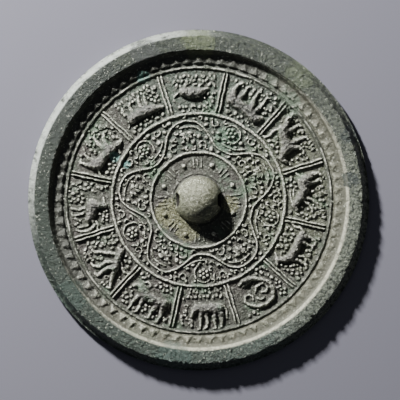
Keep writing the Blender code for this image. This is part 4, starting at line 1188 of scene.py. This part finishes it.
# %% [markdown]
# ## The cord hole
# The knob is pierced from side to side for the cord that the mirror hung by. A cutter with an
# arched outline is drawn through the knob, wider at both mouths, where cords wore it. The walls
# it leaves are marked with a number of their own, so that the finish can paint shade into the bore.

# %% Cut the hole
HOLE_HALF_WIDTH = 3.2 * MM
HOLE_HEIGHT = 5.6 * MM
HOLE_SILL = 0.2 * MM
HOLE_ROUNDNESS = 3.0
HOLE_FLARE = 0.18
HOLE_STOPS = (-1.02, -0.9, -0.6, 0.0, 0.6, 0.9, 1.02)
ARCH_STEPS = 32
stations = []
for along in HOLE_STOPS:
    flare = 1.0 + HOLE_FLARE * along ** 4
    arch = []
    for k in range(ARCH_STEPS + 1):
        turn = math.pi * k / ARCH_STEPS
        across, up = math.cos(turn), math.sin(turn)
        reach = (abs(across) ** HOLE_ROUNDNESS + up ** HOLE_ROUNDNESS) ** (-1 / HOLE_ROUNDNESS)
        arch.append((along * ends["knob"], across * reach * HOLE_HALF_WIDTH * flare,
                     PLATE_THICKNESS + HOLE_SILL + up * reach * HOLE_HEIGHT * flare))
    stations.append([*arch, arch[0]])
cutter = loft("cord_cutter", stations)
shape = bmesh.new()
shape.from_mesh(cutter.data)
bmesh.ops.remove_doubles(shape, verts=shape.verts, dist=JOIN_GAP)
bmesh.ops.holes_fill(shape, edges=[edge for edge in shape.edges if edge.is_boundary])
bmesh.ops.recalc_face_normals(shape, faces=shape.faces)
shape.to_mesh(cutter.data)
shape.free()
for piece, in_bore in ((casting, 0.0), (cutter, 1.0)):
    mark = piece.data.attributes.new("hole", "FLOAT", "POINT")
    mark.data.foreach_set("value", [in_bore] * len(mark.data))
cut = casting.modifiers.new("cord_hole", "BOOLEAN")
cut.operation = "DIFFERENCE"
cut.solver = "MANIFOLD"
cut.object = cutter
graph = bpy.context.evaluated_depsgraph_get()
pierced = bpy.data.meshes.new_from_object(
    casting.evaluated_get(graph), preserve_all_data_layers=True, depsgraph=graph)
casting.modifiers.clear()
casting.data = pierced
bpy.data.objects.remove(cutter)
print(f"{len(pierced.vertices)} corners, {len(pierced.polygons)} faces after the cut")

# %% [markdown]
# ## Hollows and edges
# The finish paints shade into the hollows, and hands polish what stands proud. To tell them apart,
# each corner's height is set against the mean height around it, and the difference is kept on
# the mesh for the finish to read.

# %% Measure how proud each corner stands
SPREADS = 6
mesh = casting.data
count = len(mesh.vertices)
places = corners_of(casting)
edges = np.zeros(len(mesh.edges) * 2, dtype=np.int32)
mesh.edges.foreach_get("vertices", edges)
edges = edges.reshape(-1, 2)
links = np.bincount(edges.ravel(), minlength=count)
around = places[:, 2].copy()
for _ in range(SPREADS):
    total = np.bincount(edges[:, 0], around[edges[:, 1]], count)
    total += np.bincount(edges[:, 1], around[edges[:, 0]], count)
    around = total / np.maximum(links, 1)
proud = mesh.attributes.new("proud", "FLOAT", "POINT")
proud.data.foreach_set("value", ((places[:, 2] - around) / MM).astype(np.float32))
print(f"proud from {(places[:, 2] - around).min() / MM:.2f} to "
      f"{(places[:, 2] - around).max() / MM:.2f} mm")

# %% [markdown]
# ## The patina
# Buried bronze grows a skin. Here it is a dull grey-brown in the hollows, pale grey-green where
# hands and cloths have rubbed the relief, buff on the saw teeth, and dark green or yellow-green
# on the rim, with a few turquoise crusts. Light and shade are painted in as well: painted shade
# in the hollows, on the animals' trunks, on the teeth and the wall in the rim's shadow, round the
# outer line, on the knob's lower right side and in the bore, and painted highlights on the bevel
# and the wall where they face the lamp, on the outer line's crest and as glints on the knob, while
# the teeth's buff is made lighter where they face the lamp. A picture could be projected on the
# casting, but a finish built from noise, distance and what was measured on the mesh holds at any
# size. Every pattern reads Object coordinates, which are metres on the mirror itself. The tones
# are laid over each other like coats of paint, each through its own masks.

# %% Helpers for the finish
CLOUD_EDGE = (0.35, 0.65)
tree = patina.node_tree
plus, minus, times, over, least, most = arithmetic(tree)
shader = tree.nodes["Principled BSDF"]
object_place = put(tree, "ShaderNodeTexCoord")["Object"]
level_place = put(tree, "ShaderNodeVectorMath", {0: object_place, 1: LEVEL},
                  operation="MULTIPLY")["Vector"]
from_middle = put(tree, "ShaderNodeVectorMath", {0: level_place}, operation="LENGTH")["Value"]


def noise(per_metre, detail=4.0, roughness=0.6, seed=0.0):
    """Cloudy noise over the piece."""
    moved = put(tree, "ShaderNodeVectorMath", {0: object_place, 1: (seed, 0.0, seed)})["Vector"]
    return noise_of(tree, moved, per_metre, detail, roughness)[0]


def ramp(value, low, high):
    """A smooth step from 0 at low to 1 at high."""
    return fade(tree, value, low, high, interpolation_type="SMOOTHSTEP")


def ring_mask(inner, outer, soft=0.4 * MM):
    """One between two radii, and zero elsewhere."""
    return times(ramp(from_middle, inner - soft, inner + soft),
                 ramp(from_middle, outer + soft, outer - soft))


def side_mask(degrees, none_at, full_at):
    """One on the side that lies this way, fading with the angle away from it."""
    towards = (*polar(1.0, degrees), 0.0)
    along = put(tree, "ShaderNodeVectorMath", {0: level_place, 1: towards},
                operation="DOT_PRODUCT")["Value"]
    return ramp(over(along, most(from_middle, MM)),
                math.cos(math.radians(none_at)), math.cos(math.radians(full_at)))


def ragged(mask, cloud, tear=0.5):
    """Tear the edge of a mask with noise."""
    return ramp(plus(mask, times(minus(cloud, MIDDLE_OF_NOISE), 2.0 * tear)), *CLOUD_EDGE)


def spot_mask(x, y, none_at, full_at, cloud, tear):
    """One round a place, fading outwards with a torn edge."""
    away = put(tree, "ShaderNodeVectorMath", {0: level_place, 1: (x, y, 0.0)},
               operation="DISTANCE")["Value"]
    return ragged(ramp(away, none_at, full_at), cloud, tear)


def shade(tone):
    """A tone given as red, green and blue, or one that is mixed already."""
    return tone if isinstance(tone, bpy.types.NodeSocket) else (*tone, 1.0)


def paint(under, *coats):
    """Lay coats over a tone. Each has its own tone, its cover and the masks it keeps to."""
    for tone, cover, *masks in coats:
        mixed = put(tree, "ShaderNodeMix", {
            0: times(cover, *masks) if masks else cover, 6: shade(under), 7: shade(tone)},
            data_type="RGBA")
        under = mixed[2]
    return under

# %% Clouds that all patches share, and what is measured on the mesh
broad_cloud = noise(45.0, 5.0, 0.6)
patch_cloud = noise(150.0, 5.0, 0.65, 0.3)
film_cloud = noise(70.0, 4.0, 0.55, 4.3)
fine_cloud = noise(520.0, 4.0, 0.65, 0.7)
grain = noise(1500.0, 3.0, 0.7, 1.1)
specks = noise(800.0, 2.0, 0.5, 1.9)
pale_specks = noise(900.0, 2.0, 0.5, 7.7)
proud_here, relief_here, figure_here, in_hole = [
    put(tree, "ShaderNodeAttribute", attribute_name=name)["Fac"]
    for name in ("proud", "relief", "figure", "hole")]

# %% Ground, rubbed relief, and painted shade in the hollows and on the animals' trunks
animal_ground = ring_mask(starts["vine_band"], starts["tooth_band"], 3.0 * MM)
brown_earth, olive_earth = (0.06, 0.051, 0.045), (0.053, 0.058, 0.042)
green_top, yellow_right = (0.052, 0.067, 0.05), (0.1, 0.107, 0.07)
dust, pits = (0.084, 0.084, 0.066), (0.05, 0.05, 0.038)
ground_tone = paint(
    brown_earth, (olive_earth, 1.0, ramp(broad_cloud, *CLOUD_EDGE)),
    (green_top, 1.0, animal_ground, ragged(side_mask(75.0, 75.0, 30.0), patch_cloud)),
    (yellow_right, 1.0, animal_ground, ragged(side_mask(5.0, 55.0, 20.0), patch_cloud)),
    (dust, 1.0, ramp(fine_cloud, 0.45, 0.7)), (pits, 0.6, ramp(specks, 0.52, 0.62)))
cream_wear, green_wear, dull_wear = (0.7, 0.69, 0.58), (0.42, 0.445, 0.35), (0.12, 0.12, 0.09)
worn_tone = paint(cream_wear, (green_wear, 1.0, ramp(patch_cloud, *CLOUD_EDGE)),
                  (dull_wear, 1.0, ramp(grain, 0.48, 0.6)))
rubbed = ramp(plus(proud_here, times(minus(fine_cloud, MIDDLE_OF_NOISE), 0.35)), 0.05, 0.36)
# Painted shade in the hollows: the hollow tone darkens every corner that lies below its
# surroundings.
painted_trunk_shade, painted_hollow_shade = (0.08, 0.075, 0.07), (0.045, 0.046, 0.036)
green_film = (0.12, 0.19, 0.12)
# Painted shade on the animals: where a figure stands thickest, its trunk is darkened in place of the
# shade on its rounded body.
base = paint(
    ground_tone, (worn_tone, 1.0, rubbed),
    (painted_trunk_shade, 0.85, ramp(figure_here, 0.9 * MM, 1.7 * MM), ramp(grain, 0.62, 0.48)),
    (painted_hollow_shade, 0.6, ramp(proud_here, -0.08, -0.4)),
    (green_film, 0.55, ramp(film_cloud, 0.52, 0.66), ramp(patch_cloud, 0.35, 0.6)))

# %% Rim: dark green on the left, yellow-green crust at the top and right, and a painted highlight on the bevel that faces the lamp
BEYOND_EDGE = MIRROR_RADIUS + 2.0 * MM
on_rim = ring_mask(starts["rim_top"] - 0.3 * MM, BEYOND_EDGE)
near_black, rim_grey, dry_crumbs = (0.035, 0.042, 0.033), (0.08, 0.092, 0.07), (0.15, 0.17, 0.125)
lit_side, right_side, sea_green = (0.12, 0.145, 0.12), (0.17, 0.185, 0.135), (0.05, 0.08, 0.066)
moss, pale_grain, rim_pits = (0.15, 0.17, 0.09), (0.36, 0.4, 0.3), (0.02, 0.026, 0.02)
far_side, lower_left = (0.022, 0.028, 0.023), (0.024, 0.036, 0.024)
rim_tone = paint(
    near_black, (rim_grey, 1.0, ramp(patch_cloud, 0.38, 0.62)),
    (dry_crumbs, 1.0, ramp(fine_cloud, 0.5, 0.72)),
    (lit_side, 0.5, side_mask(-65.0, 95.0, 40.0)), (right_side, 0.6, side_mask(5.0, 70.0, 30.0)),
    (sea_green, 0.55, ragged(side_mask(245.0, 80.0, 20.0), patch_cloud, 0.6)),
    (moss, 0.5, ragged(side_mask(80.0, 60.0, 10.0), broad_cloud, 0.8), ramp(fine_cloud, 0.4, 0.55)),
    (pale_grain, 0.5, ramp(grain, 0.54, 0.64)), (rim_pits, 0.8, ramp(specks, 0.49, 0.57)),
    (far_side, 0.72, side_mask(125.0, 140.0, 60.0)),
    (lower_left, 0.6, side_mask(222.0, 75.0, 25.0)))
# Painted highlight: the outer bevel on the lamp's side is painted pale.
painted_bevel_highlight = (0.46, 0.49, 0.44)
base = paint(
    base, (rim_tone, 1.0, on_rim),
    (painted_bevel_highlight, 0.85, ring_mask(ends["rim_top"] + 0.2 * MM, BEYOND_EDGE),
     side_mask(138.0, 62.0, 20.0), ramp(patch_cloud, 0.3, 0.5)))

# %% Saw teeth in buff and the wall above them, lighter where they face the lamp as painted light and darker in the rim's shadow as painted shade, and painted shade and a painted highlight on the outer line
on_teeth = ring_mask(ends["outer_line"], starts["inner_wall"] + 0.9 * MM)
on_wall = ring_mask(starts["inner_wall"] + 0.9 * MM, ends["inner_wall"] + 0.3 * MM, 0.3 * MM)
on_outer_line = ring_mask(starts["outer_line"] - 0.4 * MM, ends["outer_line"])
on_crest = ring_mask(middle("outer_line") - 0.2 * MM, middle("outer_line") + 0.3 * MM, 0.2 * MM)
# Where the teeth and the wall slope towards the lamp. The teeth's buff is laid only here: real buff
# patina, made lighter on this side as painted light.
lamp_facing_side = side_mask(-40.0, 115.0, 55.0)
buff = paint((0.185, 0.183, 0.13), ((0.12, 0.124, 0.086), 1.0, ramp(fine_cloud, 0.4, 0.65)))
# Painted highlight on the inner wall where it faces the lamp, and painted shadow on it where the
# rim's shadow falls.
painted_wall_highlight = paint((0.22, 0.22, 0.165), ((0.5, 0.49, 0.38), 1.0, ramp(fine_cloud, 0.35, 0.6)))
# Painted shadow: the teeth where the rim's shadow falls are darkened, and so are the gaps between
# teeth on the lamp-facing side.
painted_tooth_shadow, painted_tooth_gap_shadow, painted_wall_shadow = (0.06, 0.062, 0.05), (0.06, 0.06, 0.042), (0.035, 0.04, 0.032)
# Painted shade round the outer line, and a painted highlight along its crest.
painted_line_shade, painted_line_highlight = (0.045, 0.05, 0.036), (0.5, 0.5, 0.42)
base = paint(
    base, (buff, 0.85, on_teeth, lamp_facing_side),
    (painted_tooth_shadow, 1.0, on_teeth, side_mask(140.0, 100.0, 60.0)),
    (painted_tooth_gap_shadow, 0.6, on_teeth, lamp_facing_side, ramp(relief_here, 0.3 * MM, 0.02 * MM)),
    (painted_wall_highlight, 0.9, on_wall, side_mask(-45.0, 110.0, 40.0)),
    (painted_wall_shadow, 0.9, on_wall, side_mask(135.0, 100.0, 50.0)),
    (painted_line_shade, 0.85, on_outer_line, ramp(patch_cloud, 0.2, 0.5)),
    (painted_line_highlight, 1.0, on_crest, ramp(patch_cloud, 0.55, 0.4)))

# %% Single patches: x, y and radius in millimetres, tone, and how much they cover
patches = [
    (-34.6, 16.9, 2.2, (0.16, 0.34, 0.3), 0.7), (-26.8, 59.5, 3.2, (0.12, 0.26, 0.22), 0.55),
    (-40.6, 20.9, 2.6, (0.17, 0.34, 0.3), 0.6), (13.5, 29.0, 6.5, (0.1, 0.17, 0.11), 0.6),
    (43.6, 46.8, 6.5, (0.11, 0.145, 0.1), 0.7), (73.3, 31.4, 5.0, (0.035, 0.045, 0.04), 0.9),
    (73.3, 9.7, 4.0, (0.04, 0.05, 0.045), 0.85), (-26.0, 71.4, 7.0, (0.05, 0.055, 0.05), 0.8),
    (0.0, 76.0, 8.0, (0.13, 0.155, 0.075), 0.5), (49.0, 60.5, 7.5, (0.11, 0.135, 0.075), 0.45),
    (-62.0, -46.0, 8.0, (0.04, 0.07, 0.055), 0.4), (-12.0, -76.5, 9.0, (0.06, 0.1, 0.085), 0.5),
]
for x, y, reach_mm, tone, cover in patches:
    base = paint(base, (tone, cover, ramp(fine_cloud, 0.3, 0.5), spot_mask(
        x * MM, y * MM, reach_mm * 1.5 * MM, reach_mm * 0.4 * MM, patch_cloud, 0.9)))
print(f"{len(patches)} patches")

# %% Crust on the stroke ring: direction, reach in millimetres, and cover
CRUST_RADIUS = 15.5 * MM
crusts = [(205.0, 11.0, 0.9), (250.0, 9.0, 0.8), (352.0, 6.5, 0.8)]
crust_tone = paint((0.07, 0.07, 0.036), ((0.25, 0.25, 0.14), 1.0, ramp(grain, 0.42, 0.6)))
beside_knob = ring_mask(ends["knob"], starts["inner_line"])
for degrees, reach_mm, cover in crusts:
    base = paint(base, (crust_tone, cover, beside_knob, spot_mask(
        *polar(CRUST_RADIUS, degrees), reach_mm * MM, reach_mm * 0.3 * MM, fine_cloud, 0.7)))

# %% Knob, rubbed most of all, with painted shade on its lower right side and pale specks painted as glints, and specks over everything
on_knob = ring_mask(-1.0, ends["knob"])
# Painted shade: the knob's side away from the lamp, towards the lower right, is darkened.
LOWER_RIGHT = (0.57, -0.82, 0.0)
lower_side = put(tree, "ShaderNodeVectorMath", {0: level_place, 1: LOWER_RIGHT},
                 operation="DOT_PRODUCT")["Value"]
knob_shade_mask = ramp(plus(lower_side, times(fine_cloud, 2.0 * MM)), 4.6 * MM, 7.2 * MM)
knob_olive, knob_worn, painted_knob_shade = (0.12, 0.125, 0.08), (0.27, 0.275, 0.19), (0.016, 0.02, 0.022)
knob_grain, knob_glints = (0.1, 0.105, 0.065), (0.4, 0.4, 0.3)
knob_tone = paint(
    knob_olive, (knob_worn, 1.0, ramp(fine_cloud, *CLOUD_EDGE)), (painted_knob_shade, 0.75, knob_shade_mask),
    (knob_grain, 1.0, ramp(grain, 0.5, 0.6)), (knob_glints, 1.0, ramp(specks, 0.6, 0.66)))
dark_specks, light_specks, painted_bore_shade = (0.05, 0.055, 0.045), (0.5, 0.52, 0.42), (0.02, 0.018, 0.014)
# Painted shade in the bore: the walls that the cord hole leaves are painted near black.
base = paint(
    base, (knob_tone, 0.85, on_knob), (dark_specks, 0.5, ramp(specks, 0.62, 0.7)),
    (light_specks, 0.5, ramp(pale_specks, 0.63, 0.7)), (painted_bore_shade, 1.0, ramp(in_hole, 0.3, 0.7)))
tree.links.new(base, shader.inputs["Base Color"])

# %% Roughness, metal and fine bumps
SMOOTHEST = 0.34
CLOUDY_DULLNESS = 0.26
RUBBED_SHINE = 0.16
KNOB_SHINE = 0.1
BORE_DULLNESS = 0.6
BARE_METAL = 0.25
POCKS_PER_METRE = 700.0
BUMP_HEIGHT = 0.7 * MM
GRAIN_SHARE = 0.8
RIM_EXTRA = 0.7
dullness = plus(SMOOTHEST, times(fine_cloud, CLOUDY_DULLNESS), times(in_hole, BORE_DULLNESS))
dullness = minus(dullness, times(rubbed, RUBBED_SHINE), times(on_knob, KNOB_SHINE))
tree.links.new(dullness, shader.inputs["Roughness"])
shader.inputs["Metallic"].default_value = BARE_METAL
pocks = put(tree, "ShaderNodeTexVoronoi", {
    "Vector": object_place, "Scale": POCKS_PER_METRE})["Distance"]
pitted = times(ramp(pocks, 0.3, 0.05), ramp(patch_cloud, 0.45, 0.65))
surface = minus(plus(times(grain, GRAIN_SHARE), fine_cloud), pitted)
surface = times(surface, plus(1.0, times(on_rim, RIM_EXTRA)))
bumps = put(tree, "ShaderNodeBump", {"Height": surface, "Strength": 1.0, "Distance": BUMP_HEIGHT})
tree.links.new(bumps["Normal"], shader.inputs["Normal"])

# %% [markdown]
# ## Hand the casting over
# All faces are shaded smooth, as the relief is fine enough for that. The casting rides on the
# mirror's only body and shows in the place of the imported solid.

# %% Hand the casting over
casting.data.materials.clear()
casting.data.materials.append(patina)
casting.data.shade_smooth()
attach(casting, "root")
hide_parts("mirror")

# %% [markdown]
# ## Light and camera
# The mirror lies on a plain floor. Light from one low lamp on the upper left rakes over the
# relief, which is what makes it readable, and a weak lamp and a dim sky fill the shadows. The
# camera looks straight down.

# %% Floor
FLOOR_REACH = 3.0
FLOOR_TONE = (0.155, 0.152, 0.182, 1.0)
floor = mesh_object("floor", [(x * FLOOR_REACH, y * FLOOR_REACH, 0.0) for x, y in (
    (-1, -1), (1, -1), (1, 1), (-1, 1))], (), [(0, 1, 2, 3)])
floor_paint = bpy.data.materials.new("pale_floor")
floor_paint.use_nodes = True
floor_shader = floor_paint.node_tree.nodes["Principled BSDF"]
floor_shader.inputs["Base Color"].default_value = FLOOR_TONE
floor_shader.inputs["Roughness"].default_value = 0.9
floor.data.materials.append(floor_paint)


# %% Lamps and sky
def light(name, azimuth, elevation, distance, size, power):
    """A soft square light that faces the mirror."""
    lamp = bpy.data.lights.new(name, "AREA")
    lamp.size = size
    lamp.energy = power
    made = bpy.data.objects.new(name, lamp)
    level = distance * math.cos(math.radians(elevation))
    made.location = (*polar(level, azimuth), distance * math.sin(math.radians(elevation)))
    made.rotation_euler = (-made.location).to_track_quat("-Z", "Y").to_euler()
    bpy.context.scene.collection.objects.link(made)


light("key", azimuth=125.0, elevation=25.5, distance=0.9, size=0.08, power=36.0)
light("fill", azimuth=65.0, elevation=60.0, distance=1.2, size=1.0, power=0.2)
SKY_TONE = (0.8, 0.85, 1.0, 1.0)
SKY_STRENGTH = 0.085
world = bpy.data.worlds.new("studio")
world.use_nodes = True
sky = world.node_tree.nodes["Background"]
sky.inputs["Color"].default_value = SKY_TONE
sky.inputs["Strength"].default_value = SKY_STRENGTH
bpy.context.scene.world = world

# %% Camera
FRAME_WIDTH = 193.4 * MM
CAMERA_DISTANCE = 1.2
CAMERA_SHIFT = 0.7 * MM
lens = bpy.data.cameras.new("camera")
lens.lens = lens.sensor_width * CAMERA_DISTANCE / FRAME_WIDTH
camera = bpy.data.objects.new("camera", lens)
camera.location = (CAMERA_SHIFT, 0.0, CAMERA_DISTANCE + RIM_HEIGHT)
bpy.context.scene.collection.objects.link(camera)
bpy.context.scene.camera = camera
